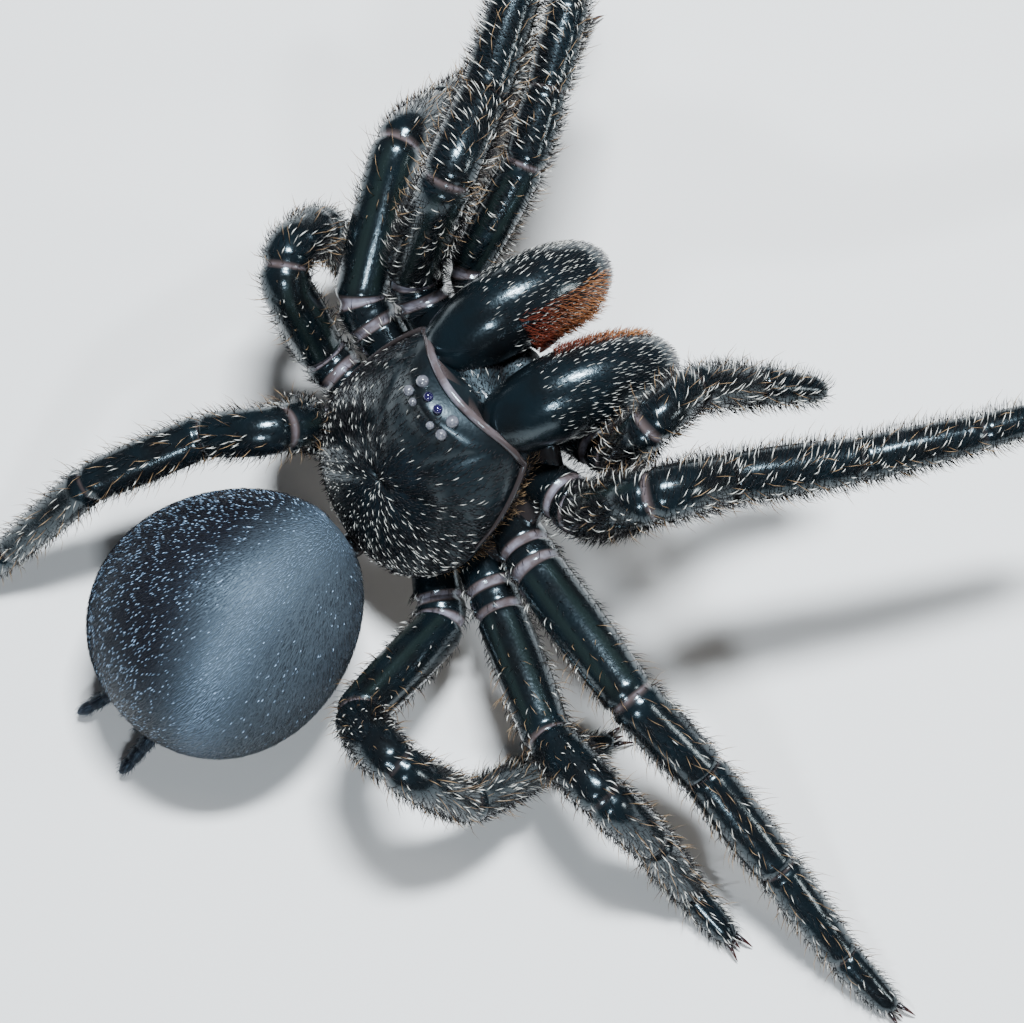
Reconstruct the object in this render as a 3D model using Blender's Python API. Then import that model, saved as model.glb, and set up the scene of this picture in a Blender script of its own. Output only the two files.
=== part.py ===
"""Port Macquarie funnel-web spider, a still model at life size, reared up in threat.

The script's own units are millimetres, and the finished meshes are scaled to metres at the end.
+Z is up, the head points to -Y and the spider's left is +X. The origin is the middle of the
small flat that the abdomen rests on. The limbs are lofted whole, along one rounded path each,
and parted by thin cuts at the joints.
"""

import math

import bmesh
import bpy
from mathutils import Matrix, Vector

MM = 0.001

# Clearances between neighbouring pieces
GAP = 0.3
EYE_GAP = 0.1

# Prosoma: its own axes are forward, left and up, from the middle of the carapace
PROSOMA_CENTRE = Vector((1.16, -8.5, 6.6))
PROSOMA_PITCH = 45.0
PROSOMA_BEARING = 5.0
CARAPACE_REAR = -4.25
CARAPACE_FRONT = 3.75
CARAPACE_HALF_WIDTH = 3.9
CARAPACE_WIDEST = -0.8
CARAPACE_RIM = -0.1
CARAPACE_FLOOR = -0.4
THORAX_HEIGHT = 1.4
CAPUT_HEIGHT = 2.4
FOVEA_FORWARD = -0.9
EYE_MOUND = Vector((3.1, 0.0, 0.3))

# Chelicerae: each arches over from its root to its tip. A pitch is above the floor, and a
# bearing turns from straight ahead to the left
CHELICERA_ROOT = Vector((4.27, 1.68, -0.3))
CHELICERA_LENGTH = 5.5
CHELICERA_HALF_WIDTH = 1.48
CHELICERA_HALF_HEIGHT = 1.66
CHELICERA_PITCH = (32.0, -42.0)
CHELICERA_BEARING = {"left": 0.0, "right": -9.0}
FANG_LENGTH = 4.4
FANG_RADIUS = 0.55
FANG_PITCH = (-80.0, -125.0)
FANG_SETBACK = 0.9

# Abdomen: an egg whose front is lifted, turned a little to the left of the head
ABDOMEN_HALF_LENGTH = 4.95
ABDOMEN_HALF_WIDTH = 4.5
ABDOMEN_HALF_HEIGHT = 4.3
ABDOMEN_PITCH = 13.0
EGG = 0.1
ABDOMEN_BEARING = 6.0
ABDOMEN_FLAT_DEPTH = 0.12
PEDICEL_RADIUS = 0.55

# Sternum, with the labium at its front
STERNUM_FRONT = 2.0
STERNUM_REAR = -3.15
STERNUM_HALF_WIDTH = 1.55
STERNUM_TOP = -0.8
STERNUM_DEPTH = 2.3

# Spinnerets: the long hind pair of three joints and the short pair between them
LONG_SPINNERET = (0.6, 0.55, 0.6)
LONG_SPINNERET_RADIUS = 0.33
SHORT_SPINNERET = 0.6
SHORT_SPINNERET_RADIUS = 0.2

# Limb sections
LEG_SIDES = 10
KNEE_ROOM = 0.4
LEAST_BEND = 0.01
STRAIGHT_STEP = 1.5
ARC_STEP = 22
RING_ROOM = 0.07
END_SCALE = 0.93
TIP_SCALE = 0.6
CLAW_LENGTH = 0.55
CLAW_RADIUS = 0.13
CLAW_DROP = -0.05

# Lengths of femur, patella, tibia, metatarsus and tarsus for each pair of legs
LEG_LENGTHS = {
    1: (5.9, 3.5, 4.5, 4.1, 2.6),
    2: (5.7, 3.7, 4.3, 4.0, 2.6),
    3: (4.9, 3.1, 3.0, 3.4, 2.2),
    4: (5.6, 3.5, 4.4, 4.7, 2.5),
}
PALP_LENGTHS = (4.3, 2.6, 3.1, 2.6)

# Radius at each joint, from the coxa's inner end to the tip
LEG_RADII = {
    1: (0.72, 0.95, 0.9, 0.84, 0.76, 0.6, 0.42),
    2: (0.72, 0.95, 0.9, 0.86, 0.78, 0.6, 0.4),
    3: (0.72, 0.9, 0.86, 0.8, 0.72, 0.56, 0.38),
    4: (0.72, 0.9, 0.84, 0.78, 0.72, 0.56, 0.38),
}
PALP_RADII = (0.5, 0.72, 0.74, 0.72, 0.68, 0.4)

# Swelling of a segment's middle over its joints
SWELL = 0.09

# Inner ends of the coxae and the joints where the femora start, on the prosoma's axes
COXA_INNER = {1: (1.85, 2.3, -2.1), 2: (0.1, 2.5, -2.1), 3: (-1.65, 2.35, -2.1), 4: (-3.2, 1.6, -2.1)}
FEMUR_BASE = {
    ("left", 1): (3.3, 5.2, -1.35),
    ("left", 2): (0.9, 6.0, -1.35),
    ("left", 3): (-1.75, 5.75, -1.35),
    ("left", 4): (-4.35, 5.0, -1.5),
    ("right", 1): (3.1, 5.2, -1.35),
    ("right", 2): (0.2, 5.45, -1.35),
    ("right", 3): (-2.1, 5.6, -1.35),
    ("right", 4): (-4.4, 4.4, -1.35),
}
PALP_INNER = (3.0, 1.4, -3.05)
PALP_BASE = {"left": (4.6, 4.13, -2.3), "right": (4.72, 4.42, -2.4)}

# The pose: (bearing, pitch) in degrees of each segment, femur first
LEG_POSE = {
    ("left", 1): ((3, 75), (39, -3), (41, 17), (43, -30), (43, -24)),
    ("left", 2): ((43, 33), (30, -44), (22, -41), (22, -41), (22, -22)),
    ("left", 3): ((102, 64), (27, -35), (-4, -75), (-36, -79), (20, -12)),
    ("left", 4): ((-109, 65), (147, -19), (169, -14), (174, -44), (174, -33)),
    ("right", 1): ((-65, 68), (-5, -32), (-20, -5), (-17, 1), (-14, 0)),
    ("right", 2): ((-87, 9), (-70, -31), (-78, -25), (-79, -28), (-74, -17)),
    ("right", 3): ((-101, 9), (-81, 18), (-60, -51), (-70, -56), (-77, -15)),
    ("right", 4): ((-156, 29), (-88, 39), (-38, -58), (6, -41), (-6, -11)),
}
PALP_POSE = {
    "left": ((24, 40), (42, 19), (45, 17), (45, -6)),
    "right": ((-55, 78), (20, -24), (-11, -39), (-27, -19)),
}
RAISED = {("left", 1), ("right", 1)}
SOLE_HEIGHT = 0.26
SOLE_SNAP = 0.11

# Colours are linear RGB
BLACK_CUTICLE = (0.012, 0.013, 0.016)
VELVET = (0.035, 0.04, 0.05)
DARK_RED = (0.09, 0.02, 0.012)
EYE_GREY = (0.2, 0.21, 0.24)


def material(name, colour, roughness):
    """One Principled material by name."""
    found = bpy.data.materials.get(name)
    if found:
        return found
    made = bpy.data.materials.new(name)
    made.use_nodes = True
    shader = made.node_tree.nodes["Principled BSDF"]
    shader.inputs["Base Color"].default_value = (*colour, 1.0)
    shader.inputs["Roughness"].default_value = roughness
    return made


def heading(bearing, pitch):
    """Unit vector at a bearing from straight ahead, + to the left, and a pitch above the floor."""
    b, p = math.radians(bearing), math.radians(pitch)
    return Vector((math.sin(b) * math.cos(p), -math.cos(b) * math.cos(p), math.sin(p)))


PROSOMA_FORWARD = heading(PROSOMA_BEARING, PROSOMA_PITCH)
PROSOMA_LEFT = heading(PROSOMA_BEARING + 90, 0)
PROSOMA_UP = PROSOMA_FORWARD.cross(PROSOMA_LEFT)


def prosoma(forward, left, up):
    """A point given on the prosoma's own axes."""
    return PROSOMA_CENTRE + PROSOMA_FORWARD * forward + PROSOMA_LEFT * left + PROSOMA_UP * up


def skin_rings(rings):
    """Closed bmesh through rings of points, each ring of the same count, with flat ends."""
    mesh = bmesh.new()
    loops = [[mesh.verts.new(point) for point in ring] for ring in rings]
    count = len(loops[0])
    for near, far in zip(loops, loops[1:]):
        for i in range(count):
            j = (i + 1) % count
            mesh.faces.new((near[i], near[j], far[j], far[i]))
    mesh.faces.new(list(reversed(loops[0])))
    mesh.faces.new(loops[-1])
    bmesh.ops.triangulate(mesh, faces=mesh.faces[:])
    if mesh.calc_volume(signed=True) < 0:
        bmesh.ops.reverse_faces(mesh, faces=mesh.faces[:])
    return mesh


def make_object(name, mesh, finish, smooth=40):
    """An object from a bmesh, still in millimetres."""
    data = bpy.data.meshes.new(name)
    mesh.to_mesh(data)
    mesh.free()
    data.shade_smooth()
    data.set_sharp_from_angle(angle=math.radians(smooth))
    data.materials.append(finish)
    made = bpy.data.objects.new(name, data)
    bpy.context.scene.collection.objects.link(made)
    return made


def boolean(target, others, operation):
    """Union or difference of an object with closed helpers, which are then removed."""
    helpers = bpy.data.collections.new("helpers")
    for other in others:
        bpy.context.scene.collection.objects.unlink(other)
        helpers.objects.link(other)
    cut = target.modifiers.new("cut", "BOOLEAN")
    cut.operation = operation
    cut.operand_type = "COLLECTION"
    cut.collection = helpers
    cut.solver = "MANIFOLD"
    depsgraph = bpy.context.evaluated_depsgraph_get()
    result = bpy.data.meshes.new_from_object(target.evaluated_get(depsgraph))
    target.modifiers.clear()
    target.data = result
    for other in others:
        bpy.data.objects.remove(other)
    bpy.data.collections.remove(helpers)


def across(tangent, guide):
    """Two unit vectors square to a tangent, the first leaning toward the guide."""
    side = (guide - tangent * guide.dot(tangent)).normalized()
    return side, tangent.cross(side)


def ring_at(centre, side, other, half_side, half_other, count):
    """An ellipse of points round a centre."""
    points = []
    for i in range(count):
        angle = math.tau * i / count
        points.append(centre + side * (math.cos(angle) * half_side) + other * (math.sin(angle) * half_other))
    return points


class LimbPath:
    """The middle line of a limb: straight pieces joined by round arcs at its corners."""

    def __init__(self, corners, radii):
        self.pieces = []
        self.joints = [0.0]
        self.length = 0.0
        reach_before = 0.0
        for k in range(len(corners) - 1):
            run = corners[k + 1] - corners[k]
            ahead = run.normalized()
            after = corners[k + 2] - corners[k + 1] if k + 2 < len(corners) else run
            bend = ahead.angle(after)
            reach = 0.0
            if bend > LEAST_BEND:
                reach = min((radii[k + 1] + KNEE_ROOM) * math.tan(bend / 2), 0.5 * min(run.length, after.length))
            start = corners[k] + ahead * reach_before
            self.add("straight", run.length - reach_before - reach, (start, ahead))
            if reach:
                bow = reach / math.tan(bend / 2)
                inward = (after.normalized() - ahead).normalized()
                middle = corners[k + 1] + inward * (bow / math.cos(bend / 2))
                turn_from = corners[k + 1] - ahead * reach
                self.add("arc", bow * bend, (middle, turn_from - middle, ahead, bow))
                self.joints.append(self.length - bow * bend / 2)
            else:
                self.joints.append(self.length)
            reach_before = reach

    def add(self, kind, length, shape):
        self.pieces.append((self.length, length, kind, shape))
        self.length += length

    def at(self, along):
        """Point and tangent at a length along the path."""
        for begin, length, kind, shape in reversed(self.pieces):
            if along >= begin:
                break
        if kind == "straight":
            start, ahead = shape
            return start + ahead * (along - begin), ahead
        middle, spoke, ahead, bow = shape
        turn = (along - begin) / bow
        outward = spoke.normalized()
        centre = middle + outward * (bow * math.cos(turn)) + ahead * (bow * math.sin(turn))
        return centre, ahead * math.cos(turn) - outward * math.sin(turn)

    def places(self, low, high):
        """Lengths at which rings are wanted between two limits."""
        found = []
        for begin, length, kind, shape in self.pieces:
            if kind == "straight":
                steps = max(1, round(length / STRAIGHT_STEP))
            else:
                steps = max(1, round(math.degrees(length / shape[3]) / ARC_STEP))
            found += [begin + length * i / steps for i in range(steps + 1)]
        return sorted({round(place, 4) for place in found if low < place < high})


def limb_radius(path, radii, along):
    """Radius at a length along a limb, straight between its joints with a slight swelling."""
    k = max(i for i in range(len(radii) - 1) if along >= path.joints[i] or i == 0)
    share = (along - path.joints[k]) / (path.joints[k + 1] - path.joints[k])
    return (radii[k] + (radii[k + 1] - radii[k]) * share) * (1 + SWELL * math.sin(math.pi * share))


def clear(near, far):
    """Whether two rings stay apart, each on its own side of the other's plane."""
    (centre_a, tangent_a, radius_a), (centre_b, tangent_b, radius_b) = near, far
    gap = centre_b - centre_a
    lean = math.sqrt(max(0.0, 1 - tangent_a.dot(tangent_b) ** 2))
    return gap.dot(tangent_a) - radius_b * lean > RING_ROOM and gap.dot(tangent_b) - radius_a * lean > RING_ROOM


def limb_rings(path, radii, first, last, gap_first, gap_last):
    """Stations (centre, tangent, radius) of one node, from joint to joint less its gaps."""

    def station(along, shift=0.0, scale=1.0):
        centre, tangent = path.at(along)
        return centre + tangent * shift, tangent, limb_radius(path, radii, along) * scale

    low, high = path.joints[first], path.joints[last]
    start = station(low, gap_first, END_SCALE)
    finish = station(high, -gap_last, END_SCALE)
    kept = [start]
    for place in path.places(low, high):
        here = station(place)
        if clear(kept[-1], here) and clear(here, finish):
            kept.append(here)
    return [*kept, finish]


def tube(stations, count, guide=None, tall=1.0):
    """Closed bmesh round stations, its rings turned as little as possible from one to the next."""
    rings = []
    side = guide or Vector((0.31, 0.17, 0.93))
    for centre, tangent, radius in stations:
        side, other = across(tangent, side)
        rings.append(ring_at(centre, side, other, radius * tall, radius, count))
    return skin_rings(rings)


def set_on_floor(mesh, snap=0.0):
    """Flattens what would reach below the floor, or lies just above it."""
    for vert in mesh.verts:
        if vert.co.z < snap:
            vert.co.z = 0.0


def claws(stations):
    """Two short hooked claws at the end of a tarsus."""
    centre, tangent, radius = stations[-1]
    side = tangent.cross(Vector((0, 0, 1))).normalized()
    made = []
    for hand in (-1, 1):
        root = centre - tangent * 0.25 + side * (hand * radius * 0.45)
        level = Vector((tangent.x, tangent.y, max(tangent.z, CLAW_DROP)))
        aim = (level + side * (hand * 0.25)).normalized()
        hook = Vector((0, 0, -0.06))
        cone = [
            (root, aim, CLAW_RADIUS),
            (root + aim * (0.25 + CLAW_LENGTH * 0.55), aim, CLAW_RADIUS * 0.8),
            (root + aim * (0.25 + CLAW_LENGTH) + hook, aim, CLAW_RADIUS * 0.25),
        ]
        mesh = tube(cone, 5)
        made.append(make_object("claw", mesh, material("cuticle", BLACK_CUTICLE, 0.2)))
    return made


def limb_corners(base_points, lengths, pose):
    """Corner points of a limb from its coxa's two ends and each segment's length and direction."""
    points = list(base_points)
    for length, (bearing, pitch) in zip(lengths, pose):
        points.append(points[-1] + heading(bearing, pitch) * length)
    return points


def mirrored(point, side):
    """A point on the prosoma's axes, on the named side."""
    forward, left, up = point
    return prosoma(forward, left if side == "left" else -left, up)


def limb(prefix, base, lengths, pose, radii, joints, grounded):
    """The nodes of one limb, each from one joint of its path to another."""
    corners = limb_corners(base, lengths, pose)
    if grounded:
        corners[-1].z = SOLE_HEIGHT
    path = LimbPath(corners, radii)
    for name, (first, last) in joints.items():
        tip = last == len(radii) - 1
        stations = limb_rings(path, radii, first, last, GAP / 2 if first else 0.0, 0.0 if tip else GAP / 2)
        if tip:
            centre, tangent, radius = stations.pop()
            stations += [
                (centre - tangent * 0.15, tangent, radius),
                (centre, tangent, radius * TIP_SCALE),
            ]
        mesh = tube(stations, LEG_SIDES)
        if tip and grounded:
            set_on_floor(mesh, SOLE_SNAP)
        node = make_object(f"{prefix}_{name}", mesh, material("cuticle", BLACK_CUTICLE, 0.2))
        if tip and prefix.startswith("leg"):
            boolean(node, claws(stations), "UNION")


def leg(side, number):
    """The four nodes of one leg."""
    base = [mirrored(COXA_INNER[number], side), mirrored(FEMUR_BASE[side, number], side)]
    joints = {"coxa_trochanter": (0, 1), "femur": (1, 2), "patella_tibia": (2, 4), "metatarsus_tarsus": (4, 6)}
    limb(
        f"leg_{side}_{number}",
        base,
        LEG_LENGTHS[number],
        LEG_POSE[side, number],
        LEG_RADII[number],
        joints,
        (side, number) not in RAISED,
    )


def palp(side):
    """The four nodes of one palp."""
    base = [mirrored(PALP_INNER, side), mirrored(PALP_BASE[side], side)]
    joints = {"coxa_trochanter": (0, 1), "femur": (1, 2), "patella_tibia": (2, 4), "tarsus": (4, 5)}
    limb(f"palp_{side}", base, PALP_LENGTHS, PALP_POSE[side], PALP_RADII, joints, False)


def carapace_half_width(forward):
    """Half width of the carapace at a place along it: round behind, narrower in front."""
    if forward < CARAPACE_WIDEST:
        share = (CARAPACE_WIDEST - forward) / (CARAPACE_WIDEST - CARAPACE_REAR)
        return CARAPACE_HALF_WIDTH * (0.22 + 0.78 * math.sqrt(1 - share**1.7))
    share = (forward - CARAPACE_WIDEST) / (CARAPACE_FRONT - CARAPACE_WIDEST)
    return CARAPACE_HALF_WIDTH * (1 - 0.3 * share**1.6)


def carapace_crown(forward):
    """Height of the carapace's middle line: low behind, dipped at the fovea, a steep caput in front."""
    rear = 0.3 + (THORAX_HEIGHT - 0.3) * math.sin(min(1.0, (forward - CARAPACE_REAR) / 3.4) * math.pi / 2)
    rise = 1 / (1 + math.exp(-(forward - FOVEA_FORWARD - 1.0) * 2.0))
    fall = 0.5 * max(0.0, (forward - 3.0) / (CARAPACE_FRONT - 3.0)) ** 2
    dip = 0.28 * math.exp(-(((forward - FOVEA_FORWARD) / 0.45) ** 2))
    return rear + (CAPUT_HEIGHT - THORAX_HEIGHT) * rise - fall - dip


def carapace_surface(forward, left):
    """Height of the carapace's upper face at a point on the prosoma's axes."""
    share = min(1.0, abs(left) / carapace_half_width(forward))
    arch = (1 - share**2.2) ** 0.62
    mound = EYE_MOUND.z * math.exp(-((left / 1.05) ** 2) - (((forward - EYE_MOUND.x) / 0.62) ** 2))
    return CARAPACE_RIM + (carapace_crown(forward) - CARAPACE_RIM) * arch + mound


def carapace():
    """The carapace, with its fovea, caput, eye mound and eye sockets."""
    top_count = 13
    places = [CARAPACE_REAR, -4.15, -3.8, -3.2, -2.4, -1.6, -1.1, -0.7, 0.0, 0.9, 1.8, 2.4, 2.8, 3.2, 3.5, CARAPACE_FRONT]
    rings = []
    for forward in places:
        width = carapace_half_width(forward)
        ring = []
        for i in range(top_count):
            left = width * math.cos(math.pi * i / (top_count - 1))
            ring.append(prosoma(forward, left, carapace_surface(forward, left)))
        ring += [prosoma(forward, share * width, CARAPACE_FLOOR) for share in (-0.9, -0.3, 0.3, 0.9)]
        rings.append(ring)
    node = make_object("carapace", skin_rings(rings), material("cuticle", BLACK_CUTICLE, 0.2))
    boolean(node, eyes(), "DIFFERENCE")


# Eyes: name, forward, left, radius, on the prosoma's axes
EYES = (
    ("eye_front_middle", 3.42, 0.27, 0.2),
    ("eye_front_side", 3.45, 0.86, 0.26),
    ("eye_rear_side", 2.9, 0.94, 0.23),
    ("eye_rear_middle", 2.88, 0.5, 0.17),
)


def ball(centre, radius, name, finish):
    """A faceted ball."""
    mesh = bmesh.new()
    bmesh.ops.create_icosphere(mesh, subdivisions=2, radius=radius)
    bmesh.ops.translate(mesh, vec=centre, verts=mesh.verts[:])
    return make_object(name, mesh, finish, 60)


def eyes():
    """Makes the eight eyes, and returns the larger balls that cut their sockets."""
    sockets = []
    for name, forward, left, radius in EYES:
        for side, hand in (("left", 1), ("right", -1)):
            seat = carapace_surface(forward, left) + 0.1 * radius
            centre = prosoma(forward, hand * left, seat)
            ball(centre, radius, f"{name}_{side}", material("eye", EYE_GREY, 0.05))
            sockets.append(ball(centre, radius + EYE_GAP, "socket", material("cuticle", BLACK_CUTICLE, 0.2)))
    return sockets


def sternum():
    """The plate between the coxae, with the labium as its front end."""
    rings = []
    for depth, scale in ((0.0, 0.8), (0.3, 0.95), (1.3, 1.0), (2.0, 0.85), (STERNUM_DEPTH, 0.5)):
        ring = []
        for i in range(14):
            angle = math.tau * i / 14
            middle = (STERNUM_FRONT + STERNUM_REAR) / 2
            reach = (STERNUM_FRONT - STERNUM_REAR) / 2
            forward = middle + math.cos(angle) * reach * scale
            taper = 1 - 0.3 * max(0.0, math.cos(angle)) ** 2
            left = math.sin(angle) * STERNUM_HALF_WIDTH * scale * taper
            ring.append(prosoma(forward, left, STERNUM_TOP - depth))
        rings.append(ring)
    make_object("sternum", skin_rings(rings), material("cuticle", BLACK_CUTICLE, 0.2))


def chelicera(side):
    """One basal segment with its fang below the tip."""
    bearing = CHELICERA_BEARING[side]
    profile = (
        # share of length, width, height
        (0.0, 0.72, 0.74),
        (0.07, 0.93, 0.95),
        (0.2, 1.0, 1.05),
        (0.36, 1.0, 1.03),
        (0.52, 0.99, 0.97),
        (0.66, 0.96, 0.91),
        (0.79, 0.88, 0.83),
        (0.9, 0.72, 0.7),
        (0.97, 0.5, 0.5),
        (1.0, 0.28, 0.3),
    )
    centre = mirrored(CHELICERA_ROOT, side)
    rings, reached = [], 0.0
    for share, width, height in profile:
        pitch = CHELICERA_PITCH[0] + (CHELICERA_PITCH[1] - CHELICERA_PITCH[0]) * (share + reached) / 2
        centre = centre + heading(bearing, pitch) * (CHELICERA_LENGTH * (share - reached))
        reached = share
        pitch = CHELICERA_PITCH[0] + (CHELICERA_PITCH[1] - CHELICERA_PITCH[0]) * share
        high, wide = across(heading(bearing, pitch), Vector((0, 0, 1)))
        rings.append(ring_at(centre, high, wide, height * CHELICERA_HALF_HEIGHT, width * CHELICERA_HALF_WIDTH, 14))
    make_object(f"chelicera_{side}", skin_rings(rings), material("cuticle", BLACK_CUTICLE, 0.2))
    aim = heading(bearing, CHELICERA_PITCH[1])
    below = -across(aim, Vector((0, 0, 1)))[0]
    fang_root = centre - aim * FANG_SETBACK + below * (CHELICERA_HALF_HEIGHT * 1.1 + GAP)
    stations = []
    steps = 7
    for i in range(steps + 1):
        share = i / steps
        tilt = heading(bearing, FANG_PITCH[0] + (FANG_PITCH[1] - FANG_PITCH[0]) * share)
        middle = stations[-1][0] + tilt * (FANG_LENGTH / steps) if stations else fang_root
        stations.append((middle, tilt, FANG_RADIUS * (1 - share) ** 0.7 + 0.06))
    make_object(f"fang_{side}", tube(stations, 8), material("fang", DARK_RED, 0.15))


def abdomen_axes():
    """Forward, side and upward axes of the abdomen, and its middle above the flat it rests on."""
    forward = heading(ABDOMEN_BEARING, ABDOMEN_PITCH)
    side = Vector((math.cos(math.radians(ABDOMEN_BEARING)), math.sin(math.radians(ABDOMEN_BEARING)), 0))
    up = forward.cross(side)
    tilt = math.radians(ABDOMEN_PITCH)
    along, high = ABDOMEN_HALF_LENGTH, ABDOMEN_HALF_HEIGHT
    reach = math.sqrt((along * math.sin(tilt)) ** 2 + (high * math.cos(tilt)) ** 2)
    shift = (along**2 - high**2) * math.sin(tilt) * math.cos(tilt) / reach
    centre = heading(ABDOMEN_BEARING, 0) * shift + Vector((0, 0, reach - ABDOMEN_FLAT_DEPTH))
    return forward, side, up, centre


def abdomen():
    """The egg of the abdomen, fullest behind its middle, with a flat where it rests."""
    forward, side, up, centre = abdomen_axes()
    rings = []
    steps, count = 18, 22
    for i in range(steps + 1):
        angle = math.pi * (0.035 + 0.93 * i / steps)
        along = -math.cos(angle)
        full = math.sin(angle) * (1 - EGG * along)
        middle = centre + forward * (ABDOMEN_HALF_LENGTH * along)
        rings.append(ring_at(middle, up, side, full * ABDOMEN_HALF_HEIGHT, full * ABDOMEN_HALF_WIDTH, count))
    mesh = skin_rings(rings)
    set_on_floor(mesh)
    make_object("abdomen", mesh, material("velvet", VELVET, 0.55))


def pedicel():
    """The narrow waist between carapace and abdomen."""
    forward, _, up, centre = abdomen_axes()
    start = prosoma(CARAPACE_REAR + 0.5, 0, CARAPACE_FLOOR - GAP - PEDICEL_RADIUS - 0.6)
    end = centre + forward * (ABDOMEN_HALF_LENGTH * 0.83) - up * (ABDOMEN_HALF_HEIGHT * 0.72)
    aim = (end - start).normalized()
    length = (end - start).length
    stations = [(start + aim * (length * share), aim, PEDICEL_RADIUS * size) for share, size in
                ((0.0, 1.0), (0.3, 0.9), (0.7, 0.85), (1.0, 0.8))]
    make_object("pedicel", tube(stations, 10), material("cuticle", BLACK_CUTICLE, 0.2))


def spinneret(name, root, pieces, radius, start_heading, turn):
    """A row of short joints, each narrower than the last, as one node."""
    corners = [root]
    bearing, pitch = start_heading
    for number, length in enumerate(pieces):
        corners.append(corners[-1] + heading(bearing, pitch + turn * number) * length)
    stations = []
    for number, (near, far) in enumerate(zip(corners, corners[1:])):
        aim = (far - near).normalized()
        size = radius * (1 - 0.2 * number)
        stations += [(near + aim * 0.06, aim, size), (far - aim * 0.06, aim, size * 0.92)]
    tip, aim, size = stations[-1]
    stations.append((tip + aim * 0.12, aim, size * 0.5))
    make_object(name, tube(stations, 8), material("velvet", VELVET, 0.55))


def spinnerets():
    """Four spinnerets under the rear end of the abdomen."""
    forward, side, up, centre = abdomen_axes()
    for hand, word in ((1, "left"), (-1, "right")):
        root = centre - forward * 4.9 - up * 2.0 + side * (hand * 1.05)
        spinneret(f"spinneret_long_{word}", root, LONG_SPINNERET, LONG_SPINNERET_RADIUS,
                  (180 + ABDOMEN_BEARING - hand * 10, -30), 7)
        root = centre - forward * 4.75 - up * 2.35 + side * (hand * 0.35)
        spinneret(f"spinneret_short_{word}", root, (SHORT_SPINNERET,), SHORT_SPINNERET_RADIUS,
                  (180 + ABDOMEN_BEARING, -26), 0)


def main():
    for old in list(bpy.data.objects):
        bpy.data.objects.remove(old)
    carapace()
    sternum()
    pedicel()
    abdomen()
    spinnerets()
    for side in ("left", "right"):
        chelicera(side)
        palp(side)
        for number in LEG_LENGTHS:
            leg(side, number)
    for made in bpy.data.objects:
        made.data.transform(Matrix.Scale(MM, 4))


main()
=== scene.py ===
# %% [markdown]
# # A funnel-web spider reared up in threat
# The imported solids give the spider's true sizes and pose. This lesson dresses them: one smooth skin
# over the whole body, glassy eyes, fangs and claws, and tens of thousands of bristles. The frame is
# loaded first.

# %% Load the frame
import math

import bmesh
import bpy
import numpy as np
from mathutils import Matrix, Vector
from mathutils.kdtree import KDTree


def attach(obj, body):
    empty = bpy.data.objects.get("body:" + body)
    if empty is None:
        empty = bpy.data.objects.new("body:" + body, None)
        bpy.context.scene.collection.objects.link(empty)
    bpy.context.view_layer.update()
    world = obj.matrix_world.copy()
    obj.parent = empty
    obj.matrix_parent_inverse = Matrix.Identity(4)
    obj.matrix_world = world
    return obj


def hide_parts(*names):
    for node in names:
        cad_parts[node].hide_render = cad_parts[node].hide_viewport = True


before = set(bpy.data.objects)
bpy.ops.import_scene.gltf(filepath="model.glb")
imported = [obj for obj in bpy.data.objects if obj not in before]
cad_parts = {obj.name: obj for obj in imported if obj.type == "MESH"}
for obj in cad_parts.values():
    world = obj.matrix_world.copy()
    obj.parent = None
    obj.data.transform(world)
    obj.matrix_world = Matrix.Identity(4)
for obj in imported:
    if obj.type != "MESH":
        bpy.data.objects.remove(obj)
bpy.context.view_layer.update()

MM = 0.001

# %% [markdown]
# ## Camera
# The photo looks down steeply from the spider's right rear side. An orbit camera is easy to state by
# its azimuth, elevation and distance from a target point, and its three axes come from those angles.

# %% Camera
CAMERA_AZIMUTH = -120.0
CAMERA_ELEVATION = 72.0
CAMERA_DISTANCE = 110.0
CAMERA_TARGET = Vector((-1.98, -10.32, 6.0))
LENS = 113.7
SENSOR = 36.0


def orbit_axes(azimuth, elevation):
    """Right, up and backward unit vectors of a camera at an azimuth and elevation in degrees."""
    a, e = math.radians(azimuth), math.radians(elevation)
    back = Vector((math.sin(a) * math.cos(e), -math.cos(a) * math.cos(e), math.sin(e)))
    right = Vector((0, 0, 1)).cross(back).normalized()
    return right, back.cross(right), back


def placed(name, data):
    """A new object in the scene that shows this mesh, lamp or camera."""
    made = bpy.data.objects.new(name, data)
    bpy.context.scene.collection.objects.link(made)
    return made


def stand(item, place, right, up, back):
    """Move an object to a place in millimetres and turn it to these three axes."""
    turned = Matrix((right, up, back)).transposed().to_4x4()
    item.matrix_world = Matrix.Translation(place * MM) @ turned


view_right, view_up, view_back = orbit_axes(CAMERA_AZIMUTH, CAMERA_ELEVATION)
camera_data = bpy.data.cameras.new("camera")
camera_data.lens = LENS
camera_data.sensor_width = SENSOR
camera_data.clip_start = 0.001
camera = placed("camera", camera_data)
camera_place = CAMERA_TARGET + view_back * CAMERA_DISTANCE
stand(camera, camera_place, view_right, view_up, view_back)
bpy.context.scene.camera = camera
print("camera at", [round(x, 1) for x in camera_place], "mm")

# %% [markdown]
# ## Studio
# A black glossy animal is drawn by what it reflects, so the light matters as much as the material.
# A cool key above gives the blue-white streaks on the jaws and femora, and a small one below draws
# thin streaks along the legs that lean away. A dim, warm one low at the right and a weak sky keep the
# shaded side readable.

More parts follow.
